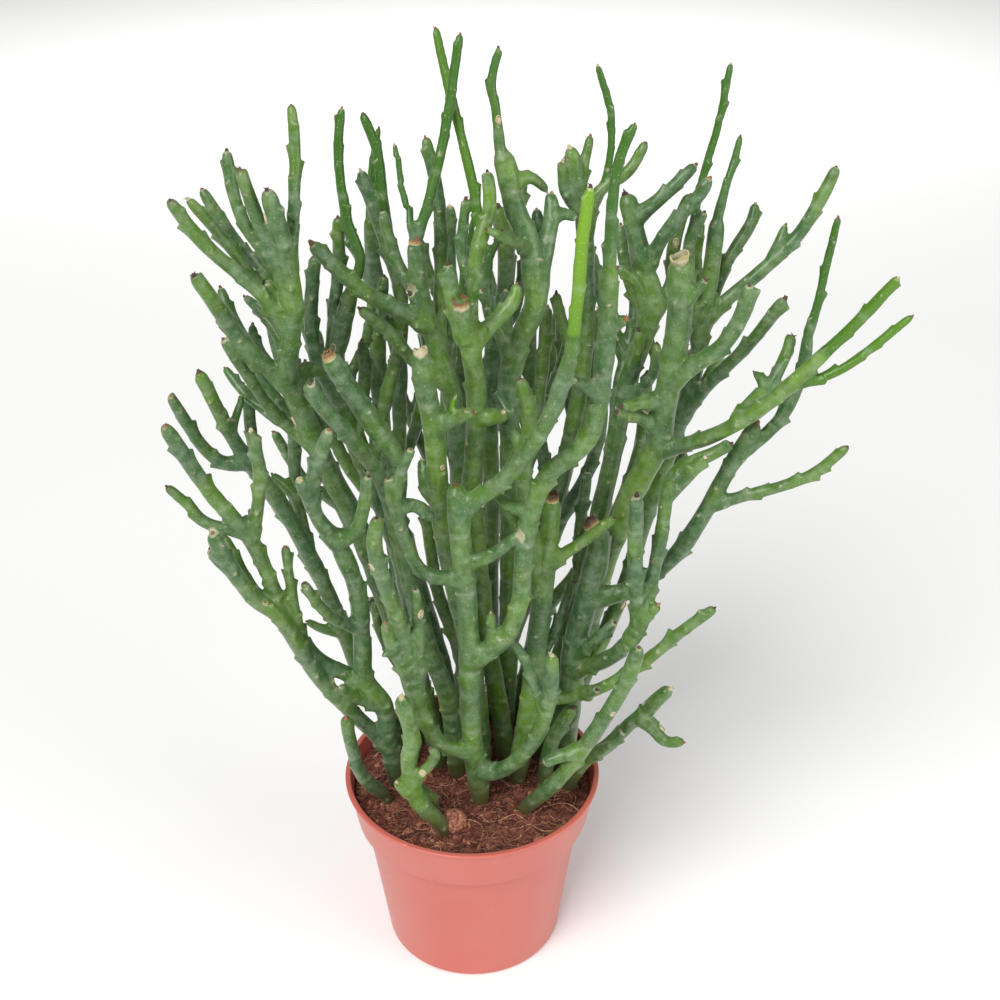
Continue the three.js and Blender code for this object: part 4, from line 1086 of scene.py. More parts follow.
def strands(name, number, template, radius_range, length_range, reach, height_of, draw, lift):
    """Loose fibres strewn over a disc, each bent its own way and sunk at its ends."""
    mesh, rows = copied(template, number, name)
    unit = corners(template) * MM
    shades = np.zeros((number, len(unit)))
    for i in range(number):
        away = reach * math.sqrt(draw.random())
        angle = draw.uniform(0, TAU)
        heading = draw.uniform(0, TAU)
        long = draw.uniform(*length_range)
        thick = draw.uniform(*radius_range)
        bend = draw.uniform(-STRAND_BEND, STRAND_BEND)
        arch = draw.uniform(-0.3, 1.4) * long * STRAND_ARCH
        t = unit[:, 0]
        turned = heading + bend * (t - 0.5)
        x = away * math.cos(angle) + long * (t - 0.5) * np.cos(turned) - unit[:, 1] * thick * np.sin(turned)
        y = away * math.sin(angle) + long * (t - 0.5) * np.sin(turned) + unit[:, 1] * thick * np.cos(turned)
        past = np.hypot(x, y) / reach
        keep = np.where(past > 1, 1 / np.maximum(past, 1e-6), 1)
        x, y = x * keep, y * keep
        ground = np.array([height_of(a, b) for a, b in zip(x, y)])
        z = ground + lift + arch * np.sin(math.pi * t) - STRAND_SINK + unit[:, 2] * thick
        rows[i] = np.column_stack([x, y, z])
        shades[i] = draw.random() ** STRAND_DARKNESS
    set_corners(mesh, rows.reshape(-1, 3))
    paint(mesh, "shade", shades.ravel())
    mesh.shade_smooth()
    return mesh


# Crumbs: how much their corners are knocked about, how proud they sit, and the palest shade of one.
CRUMB_ROUGHNESS, CRUMB_LIFT, CRUMB_PALEST = 0.22, 0.12, 0.7
CRUMB_SIZE = (0.8, 2.6)


def crumbs_of(name, number, size_range, reach, height_of, draw):
    """Broken lumps of coir and bark: small knocked-about pebbles half sunk in the surface."""
    bm = bmesh.new()
    bmesh.ops.create_icosphere(bm, subdivisions=1, radius=1.0)
    template = bpy.data.meshes.new("crumb")
    bm.to_mesh(template)
    bm.free()
    mesh, rows = copied(template, number, name)
    unit = corners(template) * MM
    shades = np.zeros((number, len(unit)))
    for i in range(number):
        away = reach * math.sqrt(draw.random())
        angle = draw.uniform(0, TAU)
        size = draw.uniform(*size_range) * draw.uniform(0.5, 1)
        shape = unit * np.array([draw.uniform(0.7, 1.5), draw.uniform(0.6, 1.1), draw.uniform(0.4, 0.9)])
        rough = [draw.uniform(-CRUMB_ROUGHNESS, CRUMB_ROUGHNESS) for _ in unit]
        shape *= 1 + np.array(rough)[:, None]
        turn = np.array(Matrix.Rotation(draw.uniform(0, TAU), 3, "Z")
                        @ Matrix.Rotation(draw.uniform(-0.6, 0.6), 3, "X"))
        x, y = away * math.cos(angle), away * math.sin(angle)
        rows[i] = shape @ turn.T * size + np.array([x, y, height_of(x, y) + size * CRUMB_LIFT])
        shades[i] = CRUMB_PALEST * draw.random()
    set_corners(mesh, rows.reshape(-1, 3))
    paint(mesh, "shade", shades.ravel())
    return mesh


# Lumps of coir husk that lie on the compost: (x, y), size in millimetres and how pale.
HUSK_LUMPS = [
    ((-11, -46), 9.0, 0.55), ((-26, -24), 8.0, 0.3), ((-17, -35), 5.0, 0.42), ((-52, -30), 5.0, 0.35),
    ((24, -24), 6.0, 0.3), ((44, -60), 4.0, 0.55), ((-40, -52), 4.0, 0.5), ((56, -14), 5.5, 0.4),
    ((-6, 62), 6.0, 0.4), ((34, 50), 5.0, 0.6), ((-48, 40), 5.5, 0.35),
]
# Their roughness as height and fineness, how patchy their shade is, and how flat they lie.
HUSK_ROUGHNESS = ((0.35, 1.6), (0.16, 6), (0.09, 15))
HUSK_PATCHES, HUSK_FLATNESS = 0.7, 0.62


def husk_lumps(height_of, draw):
    """Matted lumps of husk, half sunk, rough all over."""
    whole = bmesh.new()
    shades = []
    for (x, y), size, pale in HUSK_LUMPS:
        bm = bmesh.new()
        bmesh.ops.create_icosphere(bm, subdivisions=4, radius=1.0)
        start = Vector([draw.uniform(0, 50) for _ in range(3)])
        for vert in bm.verts:
            rough = sum(rise * noise.noise(vert.co * fine + start) for rise, fine in HUSK_ROUGHNESS)
            patch = HUSK_PATCHES * noise.noise(vert.co * 5 + start)
            shades.append(min(1.0, max(0.0, pale + patch)))
            vert.co *= 1 + rough
        stretch = Vector((size, size * draw.uniform(0.7, 0.95), size * HUSK_FLATNESS))
        turn = Matrix.Rotation(draw.uniform(0, TAU), 3, "Z").to_quaternion()
        place = Vector((x, y, height_of(x, y)))
        bmesh.ops.transform(bm, matrix=Matrix.LocRotScale(place, turn, stretch), verts=bm.verts)
        absorb(whole, bm)
    mesh = mesh_of(whole, "husk_lumps")
    paint(mesh, "shade", shades)
    return mesh


# Long pale roots that surfaced in the compost, as plan points (x, y) in millimetres.
ROOT_RUNS = [
    [(4, -37), (14, -41), (27, -40), (38, -46), (49, -44), (62, -40)],
    [(15, -45), (26, -49), (37, -47), (46, -50), (60, -49), (69, -44)],
    [(40, -38), (47, -30), (58, -27), (68, -30), (73, -38)],
    [(-30, -40), (-24, -47), (-27, -55), (-20, -62), (-9, -66)],
    [(-62, -12), (-56, -22), (-60, -33), (-52, -40)],
    [(22, -62), (30, -58), (36, -50), (44, -46)],
    [(-14, -36), (-8, -42), (0, -43), (8, -49), (6, -58)],
    [(48, 10), (60, 4), (70, 8), (76, 0)],
    [(-70, 20), (-60, 30), (-62, 44), (-50, 52)],
    [(-12, 66), (2, 72), (16, 68), (30, 72), (40, 62)],
]
# Their radius, how thin they end, their sides, and how they rise and dip along their length.
ROOT_RADIUS, ROOT_TAPER, ROOT_SIDES = (0.32, 0.5), 0.45, 6
ROOT_LIFT, ROOT_DIP, ROOT_WAVE = 0.5, 0.7, 6


def root_threads(height_of, draw):
    """Thin roots that wander over the surface, dipping under it here and there."""
    bm = bmesh.new()
    for run in ROOT_RUNS:
        path, along = smooth_path([(x, y, 0) for x, y in run])
        lifts = [ROOT_LIFT + ROOT_DIP * math.sin(s / ROOT_WAVE + run[0][0]) for s in along]
        places = [(x, y, height_of(x, y) + lift) for (x, y, _), lift in zip(path, lifts)]
        places = [np.mean(places[max(0, i - 2):i + 3], axis=0) for i in range(len(places))]
        thick = draw.uniform(*ROOT_RADIUS)
        swept(bm, places, np.linspace(thick, thick * ROOT_TAPER, len(places)), ROOT_SIDES)
    bmesh.ops.recalc_face_normals(bm, faces=bm.faces)
    mesh = mesh_of(bm, "root_threads")
    mesh.shade_smooth()
    return mesh


# ---------------------------------------------------------------------------------------------
# Pot

# The pot's small features, in millimetres, and the sides it is turned with.
LIP_OVERHANG, LIP_DEPTH, LIP_SLOPE = 1.7, 2.3, 0.4
SHELF_RISE = 0.6
BASE_CORNER = 2
POT_SIDES = 160
# The angle past which an edge is rounded.
SHARP_EDGE = math.radians(18)


def pot_shell(settings, radius, height):
    """The pot's wall and floor turned from its profile, with its corners rounded."""
    wall, floor = settings.wall / MM, settings.floor / MM
    collar = settings.collar_bottom / MM
    body, base = settings.body_radius / MM, settings.base_radius / MM
    collar_radius = settings.collar_radius / MM
    neck, lip_bottom = radius - LIP_OVERHANG, height - LIP_DEPTH
    shelf = collar + SHELF_RISE
    profile = [
        (0, 0),
        (base - BASE_CORNER, 0),
        (base, BASE_CORNER),
        (body, collar),
        (collar_radius, shelf),
        (neck, lip_bottom),
        (radius, lip_bottom + LIP_SLOPE),
        (radius, height),
        (neck - wall, height),
        (collar_radius - wall, shelf + wall),
        (body - wall, collar),
        (base - wall, floor),
        (0, floor),
    ]
    bm = bmesh.new()
    rows = [bm.verts.new((r, 0, z)) for r, z in profile]
    edges = [bm.edges.new(pair) for pair in zip(rows, rows[1:])]
    bmesh.ops.spin(bm, geom=rows + edges, cent=(0, 0, 0), axis=(0, 0, 1), angle=TAU, steps=POT_SIDES,
                   use_merge=True)
    bmesh.ops.remove_doubles(bm, verts=bm.verts, dist=0.01)
    bmesh.ops.recalc_face_normals(bm, faces=bm.faces)
    # Bands of height whose level edges are rounded, each with its rounding.
    bands = ((height - 1, height + 1, 0.75), (lip_bottom - 0.2, lip_bottom + 0.6, 0.3),
             (collar - 0.2, collar + 0.8, 0.5), (-1, 2.2, 0.7))
    for low, high, width in bands:
        sharp = [e for e in bm.edges if len(e.link_faces) == 2 and e.calc_face_angle() > SHARP_EDGE
                 and all(low < v.co.z < high for v in e.verts)
                 and abs(e.verts[0].co.z - e.verts[1].co.z) < 0.01 and e.verts[0].co.xy.length > 20]
        bmesh.ops.bevel(bm, geom=sharp, offset=width, segments=4, profile=0.5, affect="EDGES", material=-1,
                        clamp_overlap=True)
    return mesh_of(bm, "nursery_pot")


def drain_cutters(settings):
    """Rods that cut the ring of round holes in the pot's floor."""
    bm = bmesh.new()
    radius = settings.drain_radius / MM
    for i in range(settings.drain_holes):
        place = Matrix.Rotation(TAU * i / settings.drain_holes, 4, "Z") @ Matrix.Translation(
            (settings.drain_ring / MM, 0, 0))
        bmesh.ops.create_cone(bm, cap_ends=True, segments=28, radius1=radius, radius2=radius,
                              depth=settings.floor / MM * 4, matrix=place)
    return mesh_of(bm, "drain_cutters")


# ---------------------------------------------------------------------------------------------
# Materials

def stem_skin(settings):
    """Living euphorbia bark: a waxy green skin. The wax gives a soft satin sheen and a grey bloom, thicker
    at the rings. New shoots have little bloom yet and are a clear yellow green. Scars are corky."""
    shader = Shader("euphorbia_waxy_bark")

    def times(a, b):
        return shader.add("ShaderNodeMath", {0: a, 1: b}, operation="MULTIPLY").outputs[0]

    place = shader.add("ShaderNodeTexCoord").outputs["Object"]
    tone, young, ring, scar, left = (
        shader.add("ShaderNodeAttribute", attribute_name=name).outputs["Fac"]
        for name in ("tone", "young", "ring", "scar", "left"))
    height = shader.add("ShaderNodeSeparateXYZ", {0: place}).outputs["Z"]
    region = noised(shader, place, 45 * MM, 2.0, 0.5)
    blotch = noised(shader, place, 14 * MM, 3.0, 0.6)
    mottle = noised(shader, place, 6 * MM, 4.0, 0.6)
    fine = noised(shader, place, 1.0 * MM, 3.0, 0.6)
    green = mixed(shader, settings.deep_green, settings.bright_green, tone)
    green = mixed(shader, green, settings.olive_green, ramped(shader, blotch, 0.42, 0.62, (0.0, 0.75)))
    green = mixed(shader, green, settings.blue_green, ramped(shader, region, 0.45, 0.6, (0.0, 0.6)))
    green = mixed(shader, green, settings.bright_green, ramped(shader, region, 0.46, 0.36, (0.0, 0.45)))
    green = mixed(shader, green, settings.shoot_green, ramped(shader, young, 0.0, 0.32))
    green = mixed(shader, green, settings.new_green, ramped(shader, young, 0.32, 1.0))
    aged = ramped(shader, young, 0.0, 0.3, (1.0, 0.1))
    green = mixed(shader, green, settings.bloom, times(ramped(shader, mottle, 0.42, 0.72, (0.0, 0.34)), aged))
    green = mixed(shader, green, settings.bloom, times(ring, 0.25))
    green = mixed(shader, green, settings.cork, times(ramped(shader, fine, 0.64, 0.69), 0.55))
    pits = times(ramped(shader, fine, 0.33, 0.29), times(aged, 0.5))
    green = mixed(shader, green, settings.dry_brown, pits)
    green = mixed(shader, green, settings.root_brown, ramped(shader, height, 152 * MM, 126 * MM, (0.0, 0.85)))
    withered = mixed(shader, settings.dry_brown, settings.cork, ramped(shader, region, 0.47, 0.55))
    green = mixed(shader, green, withered, ramped(shader, left, 1.2, 2.6, (0.6, 0.0)))
    speck = mixed(shader, settings.cork, settings.dry_brown, ramped(shader, blotch, 0.48, 0.52))
    green = mixed(shader, green, speck, scar)
    bump = shader.add("ShaderNodeBump", {"Height": fine, "Strength": 0.3, "Distance": 0.2 * MM})
    ripple = shader.add("ShaderNodeBump", {"Height": mottle, "Strength": 0.22, "Distance": 0.8 * MM,
                                           "Normal": bump.outputs[0]})
    shader.tree.links.new(green, shader.surface.inputs["Base Color"])
    shader.tree.links.new(ripple.outputs[0], shader.surface.inputs["Normal"])
    shader.tree.links.new(ramped(shader, mottle, 0.3, 0.7, (0.27, 0.42)), shader.surface.inputs["Roughness"])
    shader.surface.inputs["IOR"].default_value = 1.45
    shader.surface.inputs["Sheen Weight"].default_value = 0.22
    shader.surface.inputs["Sheen Roughness"].default_value = 0.4
    shader.surface.inputs["Sheen Tint"].default_value = list(settings.bloom)
    return shader.material


def dry_tissue(settings):
    """Withered plant tissue: papery and corky, so it is matt and patchy; each bit dried its own shade, from
    burnt brown through rust to pale cork."""
    shader = Shader("dry_plant_tissue")
    place = shader.add("ShaderNodeTexCoord").outputs["Object"]
    own = shader.add("ShaderNodeAttribute", attribute_name="shade").outputs["Fac"]
    patch = noised(shader, place, 3.5 * MM, 3.0, 0.6)
    grain = noised(shader, place, 0.9 * MM, 4.0, 0.65)
    wander = shader.add("ShaderNodeMath", {0: ramped(shader, patch, 0.3, 0.7, (-0.09, 0.09)), 1: own},
                        operation="ADD").outputs[0]
    ramp = shader.add("ShaderNodeValToRGB", {"Fac": wander}, stops=(
        (0.0, list(settings.dry_dark)), (0.2, list(settings.dry_brown)), (0.4, list(settings.dry_rust)),
        (0.6, list(settings.dry_straw)), (0.8, list(settings.cork)), (1.0, list(settings.olive_green))))
    shade = mixed(shader, ramp.outputs[0], settings.dry_dark, ramped(shader, grain, 0.52, 0.78, (0.0, 0.5)))
    bump = shader.add("ShaderNodeBump", {"Height": grain, "Strength": 0.6, "Distance": 0.3 * MM})
    shader.tree.links.new(shade, shader.surface.inputs["Base Color"])
    shader.tree.links.new(bump.outputs[0], shader.surface.inputs["Normal"])
    shader.surface.inputs["Roughness"].default_value = 0.85
    return shader.material


def coir(settings):
    """Damp coir compost: a matt dark red brown with paler bits, rough down to its dust."""
    shader = Shader("coir_compost")
    place = shader.add("ShaderNodeTexCoord").outputs["Object"]
    lumps = noised(shader, place, 9 * MM, 4.0, 0.6)
    grit = noised(shader, place, 1.6 * MM, 4.0, 0.7)
    ramp = shader.add("ShaderNodeValToRGB", {"Fac": grit}, stops=(
        (0.0, list(settings.dark)), (0.45, list(settings.middle)), (0.62, list(settings.middle)),
        (0.75, list(settings.light)), (1.0, list(settings.light))))
    shade = mixed(shader, ramp.outputs[0], settings.dark, ramped(shader, lumps, 0.4, 0.62, (0.8, 0.0)))
    bump = shader.add("ShaderNodeBump", {"Height": grit, "Strength": 0.9, "Distance": 0.8 * MM})
    shader.tree.links.new(shade, shader.surface.inputs["Base Color"])
    shader.tree.links.new(bump.outputs[0], shader.surface.inputs["Normal"])
    shader.surface.inputs["Roughness"].default_value = 0.95
    shader.surface.inputs["Specular IOR Level"].default_value = 0.2
    return shader.material


def loose_fibre(settings):
    """Coir fibre and bark crumbs: dry, matt, each bit its own brown between dark and straw."""
    shader = Shader("coir_fibre")
    place = shader.add("ShaderNodeTexCoord").outputs["Object"]
    shade = shader.add("ShaderNodeAttribute", attribute_name="shade").outputs["Fac"]
    grain = noised(shader, place, 0.8 * MM, 3.0, 0.6)
    ramp = shader.add("ShaderNodeValToRGB", {"Fac": shade}, stops=(
        (0.0, list(settings.dark)), (0.4, list(settings.middle)), (0.8, list(settings.light)),
        (1.0, list(settings.straw))))
    tint = mixed(shader, ramp.outputs[0], settings.dark, ramped(shader, grain, 0.45, 0.8, (0.0, 0.45)))
    shader.tree.links.new(tint, shader.surface.inputs["Base Color"])
    shader.surface.inputs["Roughness"].default_value = 0.9
    return shader.material


def root_skin(settings):
    """Dried roots: pale straw with brown smudges, faintly glossy."""
    shader = Shader("dried_root")
    place = shader.add("ShaderNodeTexCoord").outputs["Object"]
    smudge = noised(shader, place, 5 * MM, 3.0, 0.6)
    tint = mixed(shader, settings.straw, settings.light, ramped(shader, smudge, 0.4, 0.65))
    shader.tree.links.new(tint, shader.surface.inputs["Base Color"])
    shader.surface.inputs["Roughness"].default_value = 0.7
    return shader.material


def pot_plastic(settings):
    """Moulded polypropylene, terracotta coloured: an even satin with slight flow clouds, a few pale scuffs
    and grains of dirt."""
    shader = Shader("terracotta_polypropylene")
    place = shader.add("ShaderNodeTexCoord").outputs["Object"]
    cloud = noised(shader, place, 60 * MM, 2.0, 0.5)
    orange_peel = noised(shader, place, 0.7 * MM, 2.0, 0.5)
    dirt = noised(shader, place, 3.2 * MM, 3.0, 0.6)
    stretched = shader.add("ShaderNodeMapping", {"Vector": place, "Scale": (1, 1, 7)}).outputs[0]
    scuff = noised(shader, stretched, 12 * MM, 3.0, 0.65)
    tint = mixed(shader, settings.terracotta, settings.terracotta_pale,
                 ramped(shader, cloud, 0.3, 0.7, (0.0, 0.5)))
    tint = mixed(shader, tint, settings.scuff, ramped(shader, scuff, 0.69, 0.75, (0.0, 0.35)))
    tint = mixed(shader, tint, settings.dirt, ramped(shader, dirt, 0.745, 0.775, (0.0, 0.8)))
    bump = shader.add("ShaderNodeBump", {"Height": orange_peel, "Strength": 0.12, "Distance": 0.08 * MM})
    shader.tree.links.new(tint, shader.surface.inputs["Base Color"])
    shader.tree.links.new(bump.outputs[0], shader.surface.inputs["Normal"])
    shader.tree.links.new(ramped(shader, cloud, 0.3, 0.7, (0.3, 0.38)), shader.surface.inputs["Roughness"])
    shader.surface.inputs["IOR"].default_value = 1.49
    return shader.material


def studio_floor(settings):
    """Matt pale paint on a studio floor."""
    shader = Shader("matt_studio_paint")
    place = shader.add("ShaderNodeTexCoord").outputs["Object"]
    cloud = noised(shader, place, 0.4, 2.0)
    tint = mixed(shader, settings.floor, settings.floor_shade, ramped(shader, cloud, 0.3, 0.8, (0.0, 0.3)))
    shader.tree.links.new(tint, shader.surface.inputs["Base Color"])
    shader.surface.inputs["Roughness"].default_value = 0.9
    return shader.material


# ---------------------------------------------------------------------------------------------
# Settings

class EuphorbiaStemSettings(bpy.types.PropertyGroup):
    """Colours of the plant."""
    deep_green: colour("Deep green", "Old shaded bark", "#2e532a")
    bright_green: colour("Bright green", "The yellowest trunks", "#648a26")
    olive_green: colour("Olive green", "Blotches of older bark", "#476325")
    blue_green: colour("Blue green", "Stretches of cooler bark", "#365a3d")
    shoot_green: colour("Shoot green", "Last season's shoots", "#356212")
    new_green: colour("New green", "Shoots of this season", "#6c9812")
    bloom: colour("Bloom", "Grey wax on the skin", "#9fb092")
    cork: colour("Cork", "Scars and specks", "#c6bc9c")
    root_brown: colour("Root brown", "Bark where the stem meets the soil", "#4a3d24")
    dry_brown: colour("Dry brown", "Withered tips", "#5f4a3a")
    dry_rust: colour("Dry rust", "Tips with dried sap", "#8c5f42")
    dry_straw: colour("Dry straw", "Torn tissue that stayed pale", "#a89a5e")
    dry_dark: colour("Dry dark", "Shrivelled tissue", "#3a2a26")
    seed: bpy.props.IntProperty(name="Seed", description="Where scars and rings fall", default=7)


class EuphorbiaSoilSettings(bpy.types.PropertyGroup):
    """Sizes and colours of the compost."""
    crown: length("Crown", "How far the rim of the soil lies below its top", 2.2 * MM)
    fibres: count("Fibres", "Loose fibres on the surface", 1300)
    hairs: count("Hairs", "Hair-thin fibres on the surface", 3200)
    crumbs: count("Crumbs", "Loose crumbs on the surface", 1500)
    dark: colour("Dark coir", "Damp coir dust", "#391b15")
    middle: colour("Coir", "Coir pith", "#8b5243")
    light: colour("Light coir", "Dry pith and husk", "#bd8262")
    straw: colour("Straw", "Bare fibres and roots", "#d2a57c")
    seed: bpy.props.IntProperty(name="Seed", description="Where fibres and crumbs lie", default=11)


class EuphorbiaPotSettings(bpy.types.PropertyGroup):
    """Sizes and colours of the pot."""
    wall: length("Wall", "Thickness of the side", 1.8 * MM)
    floor: length("Floor", "Thickness of the bottom", 2.4 * MM)
    collar_bottom: length("Collar bottom", "Height at which the collar starts", 100.3 * MM)
    collar_radius: length("Collar radius", "Radius at the foot of the collar", 78.3 * MM)
    body_radius: length("Body radius", "Radius just under the collar", 73.1 * MM)
    base_radius: length("Base radius", "Radius at the bottom", 60.1 * MM)
    drain_holes: count("Drain holes", "Round holes in the floor", 8)
    drain_radius: length("Drain hole radius", "Radius of each hole in the floor", 4.5 * MM)
    drain_ring: length("Drain ring", "Radius of the ring that the holes lie on", 42 * MM)
    terracotta: colour("Terracotta", "The plastic", "#c15f52")
    terracotta_pale: colour("Pale terracotta", "Flow clouds in the plastic", "#ca7466")
    scuff: colour("Scuff", "Rubbed plastic", "#f0b8a8")
    dirt: colour("Dirt", "Grains of compost on the pot", "#5a3226")


class EuphorbiaStageSettings(bpy.types.PropertyGroup):
    """The studio."""
    floor: colour("Floor", "Floor paint", "#fbfbfa")
    floor_shade: colour("Floor shade", "Slight clouds in the paint", "#f4f4f3")
    focal_length: bpy.props.FloatProperty(
        name="Focal length", description="Lens for a 36 mm wide sensor, mm", default=46.8)
    key_power: power("Key light", "Power of the main softbox", 158.0)
    fill_power: power("Fill light", "Power of the side softbox", 16.0)
    back_power: power("Back light", "Power of the softbox over the far floor", 85.0)
    sky: bpy.props.FloatProperty(name="Sky", description="Brightness of the white surround", default=0.38)


# ---------------------------------------------------------------------------------------------
# Operators

# The stage, in millimetres and degrees.
FLOOR_HALF_SIDE = 15000
CAMERA_PLACE = (18.6, -685.0, 704.1)
CAMERA_TILT = 61.7


class EUPHORBIA_OT_stems(bpy.types.Operator):
    """Grow every rooted stem with its limbs, scars and dry ends"""
    bl_idname = "euphorbia.stems"
    bl_label = "Stems"

    def execute(self, context):
        settings = context.scene.euphorbia_stems
        skin = stem_skin(settings)
        dry = dry_tissue(settings)
        nubs, buttons = [], []
        cups, cup_shades = bmesh.new(), []
        for number, plan in enumerate(STEMS):
            draw = random.Random(settings.seed * 1000 + number)
            rods = rods_of(plan.name, plan.growth)
            rings = [ring_places(rod, draw) for rod in rods]
            radii = [girths(rod, waists, draw) for rod, waists in zip(rods, rings)]
            samples = sampled(rods, radii, rings)
            scars = leaf_scars(rods, samples, draw)
            mesh = grown_skin(plan.name, rods, radii, samples, scars, plan.tone)
            shown("bark_" + plan.name, mesh, skin, [plan.name])
            for rod, radius in zip(rods, radii):
                tip = Vector(rod.path[-1])
                ahead = (tip - Vector(rod.path[-3])).normalized()
                if rod.kind == "trunk" and plan.name in TORN_TOPS:
                    spread, kind = TORN_TOPS[plan.name]
                    foot = tip - ahead * CUP_SUNK
                    cup, shades = torn_cup(foot, ahead, radius[-1], spread, TORN_SHADES[kind], draw)
                    cup_shades += shades
                    absorb(cups, cup)
                elif not rod.topped:
                    nubs.append((tip, ahead, radius[-1]))
            high = [scar for scar in scars if scar.place.z > BUTTONS_ABOVE
                    and samples.left[samples.tree.find(scar.place)[1]] > BUTTONS_BELOW_TIP]
            for scar in draw.sample(high, min(len(high), BUTTONS)):
                place = scar.place + scar.ahead * BUTTON_SHIFT
                buttons.append((place, scar.ahead, scar.out, draw.uniform(*BUTTON_SIZE)))
        draw = random.Random(settings.seed)
        torn = mesh_of(cups, "torn_tops")
        paint(torn, "shade", cup_shades)
        shown("dried_nubs", dried_nubs(nubs, draw), dry)
        shown("torn_tops", torn, dry)
        shown("branch_scars", branch_scars(buttons, draw), dry)
        return {"FINISHED"}


class EUPHORBIA_OT_soil(bpy.types.Operator):
    """Fill the pot with coir and strew fibres, crumbs and roots over it"""
    bl_idname = "euphorbia.soil"
    bl_label = "Soil"

    def execute(self, context):
        settings = context.scene.euphorbia_soil
        draw = random.Random(settings.seed)
        low, high = (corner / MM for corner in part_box("soil"))
        top = high.z - settings.crown / MM

        feet = stem_feet()

        def height_of(x, y):
            return soil_height(x, y, top, high.x, feet)

        body = coir_body(low, high, top, height_of)
        body.shade_smooth()
        fibre = loose_fibre(settings)
        shown("coir_body", body, coir(settings), ["soil"])
        reach = high.x - 1
        crumbs = crumbs_of("crumbs", settings.crumbs, CRUMB_SIZE, reach, height_of, draw)
        shown("coir_crumbs", crumbs, fibre)
        fibres = strands("fibres", settings.fibres, strand_template(*FIBRE_SHAPE), FIBRE_RADIUS,
                         FIBRE_LENGTH, reach, height_of, draw, FIBRE_LIFT)
        shown("coir_fibres", fibres, fibre)
        hairs = strands("hairs", settings.hairs, strand_template(*HAIR_SHAPE), HAIR_RADIUS,
                        HAIR_LENGTH, reach, height_of, draw, HAIR_LIFT)
        shown("coir_hairs", hairs, fibre)
        shown("husk_lumps", husk_lumps(height_of, draw), fibre)
        shown("root_threads", root_threads(height_of, draw), root_skin(settings))
        return {"FINISHED"}


class EUPHORBIA_OT_pot(bpy.types.Operator):
    """Turn the nursery pot and cut its drain holes"""
    bl_idname = "euphorbia.pot"
    bl_label = "Pot"

    def execute(self, context):
        settings = context.scene.euphorbia_pot
        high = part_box("pot")[1] / MM
        cutter = bpy.data.objects.new("drain_cutters", drain_cutters(settings))
        context.scene.collection.objects.link(cutter)
        shell = modified(pot_shell(settings, high.x, high.z),
                         ("BOOLEAN", {"operation": "DIFFERENCE", "object": cutter, "solver": "EXACT"}))
        bpy.data.objects.remove(cutter)
        shell.shade_smooth()
        shell.set_sharp_from_angle(angle=math.radians(35))
        shown("nursery_pot", shell, pot_plastic(settings), ["pot"])
        return {"FINISHED"}


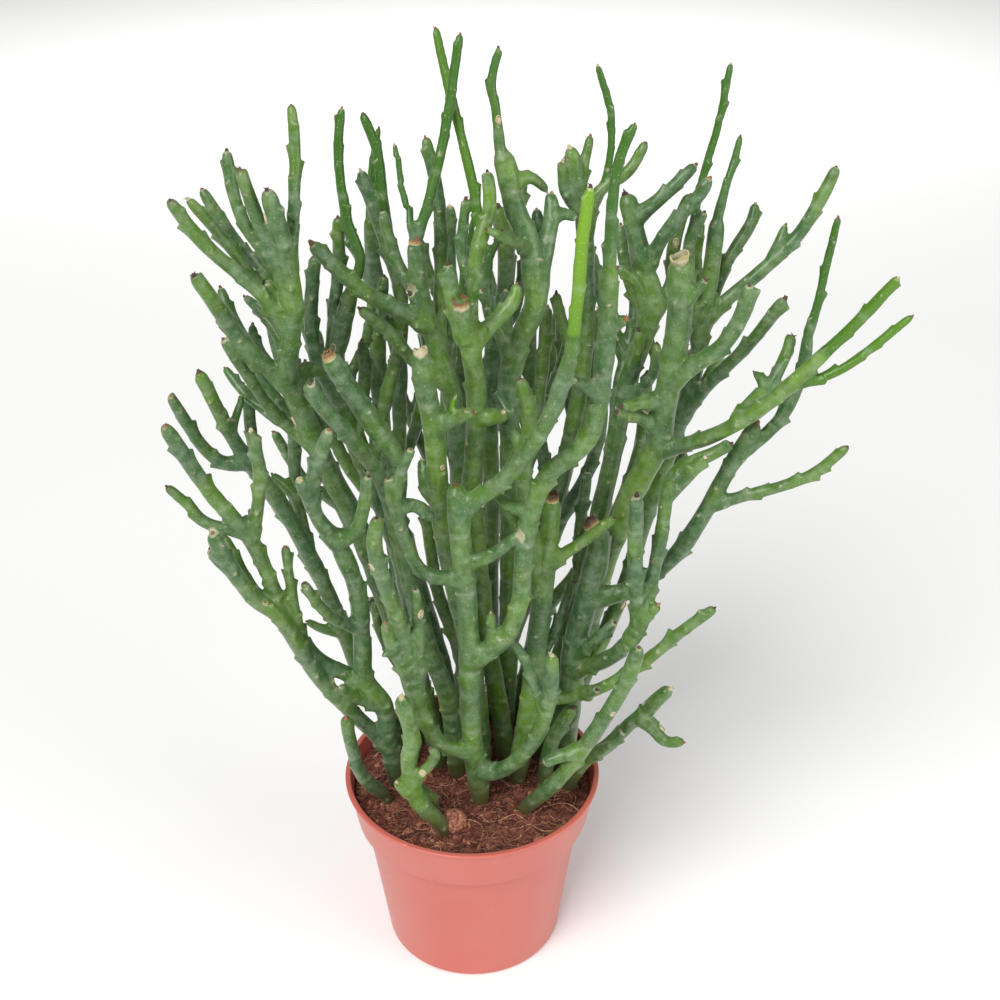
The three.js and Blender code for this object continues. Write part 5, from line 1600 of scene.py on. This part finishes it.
class EUPHORBIA_OT_stage(bpy.types.Operator):
    """Set the pale floor, the soft lights and the camera"""
    bl_idname = "euphorbia.stage"
    bl_label = "Stage"

    def execute(self, context):
        settings = context.scene.euphorbia_stage
        scene = context.scene
        bm = bmesh.new()
        bmesh.ops.create_grid(bm, x_segments=8, y_segments=8, size=FLOOR_HALF_SIDE)
        mesh = mesh_of(bm, "studio_floor")
        floor = bpy.data.objects.new("studio_floor", mesh)
        scene.collection.objects.link(floor)
        mesh.materials.append(studio_floor(settings))

        world = bpy.data.worlds.new("white_surround")
        world.use_nodes = True
        sky = world.node_tree.nodes["Background"]
        sky.inputs["Color"].default_value = (1, 1, 1, 1)
        sky.inputs["Strength"].default_value = settings.sky
        scene.world = world
        plant, far_floor = Vector((0, 0, 0.3)), Vector((0, 5.5, 0))
        softboxes = (("key", (-1.4, -2.4, 3.2), plant, 2.4, settings.key_power),
                     ("fill", (1.6, -1.0, 1.0), plant, 1.4, settings.fill_power),
                     ("back", (0, 3.2, 2.8), far_floor, 3.0, settings.back_power))
        for name, place, aim, size, watts in softboxes:
            lamp = bpy.data.lights.new(name, "AREA")
            lamp.energy = watts
            lamp.size = size
            lamp_object = bpy.data.objects.new(name, lamp)
            lamp_object.location = place
            lamp_object.rotation_euler = (aim - Vector(place)).to_track_quat("-Z", "Y").to_euler()
            scene.collection.objects.link(lamp_object)

        camera = bpy.data.objects.new("camera", bpy.data.cameras.new("camera"))
        camera.data.lens = settings.focal_length
        camera.data.sensor_width = 36
        camera.data.clip_start = 0.01
        camera.location = Vector(CAMERA_PLACE) * MM
        camera.rotation_euler = (math.radians(CAMERA_TILT), 0, 0)
        scene.collection.objects.link(camera)
        scene.camera = camera
        scene.view_settings.view_transform = "Standard"
        return {"FINISHED"}


class EUPHORBIA_PT_panel(bpy.types.Panel):
    """Lists the steps that make the plant"""
    bl_idname = "EUPHORBIA_PT_panel"
    bl_label = "Potted euphorbia"
    bl_space_type = "VIEW_3D"
    bl_region_type = "UI"
    bl_category = "Euphorbia"

    def draw(self, context):
        for operator in STEPS:
            self.layout.operator(operator.bl_idname)


STEPS = (EUPHORBIA_OT_stage, EUPHORBIA_OT_pot, EUPHORBIA_OT_soil, EUPHORBIA_OT_stems)
SETTINGS = {
    "euphorbia_stems": EuphorbiaStemSettings,
    "euphorbia_soil": EuphorbiaSoilSettings,
    "euphorbia_pot": EuphorbiaPotSettings,
    "euphorbia_stage": EuphorbiaStageSettings,
}


def register():
    for name, group in SETTINGS.items():
        bpy.utils.register_class(group)
        setattr(bpy.types.Scene, name, bpy.props.PointerProperty(type=group))
    for kind in (*STEPS, EUPHORBIA_PT_panel):
        bpy.utils.register_class(kind)


def unregister():
    for kind in reversed((*STEPS, EUPHORBIA_PT_panel)):
        bpy.utils.unregister_class(kind)
    for name, group in reversed(list(SETTINGS.items())):
        delattr(bpy.types.Scene, name)
        bpy.utils.unregister_class(group)


def main():
    register()
    bpy.ops.euphorbia.stage()
    bpy.ops.euphorbia.pot()
    bpy.ops.euphorbia.soil()
    bpy.ops.euphorbia.stems()


if __name__ == "__main__":
    main()
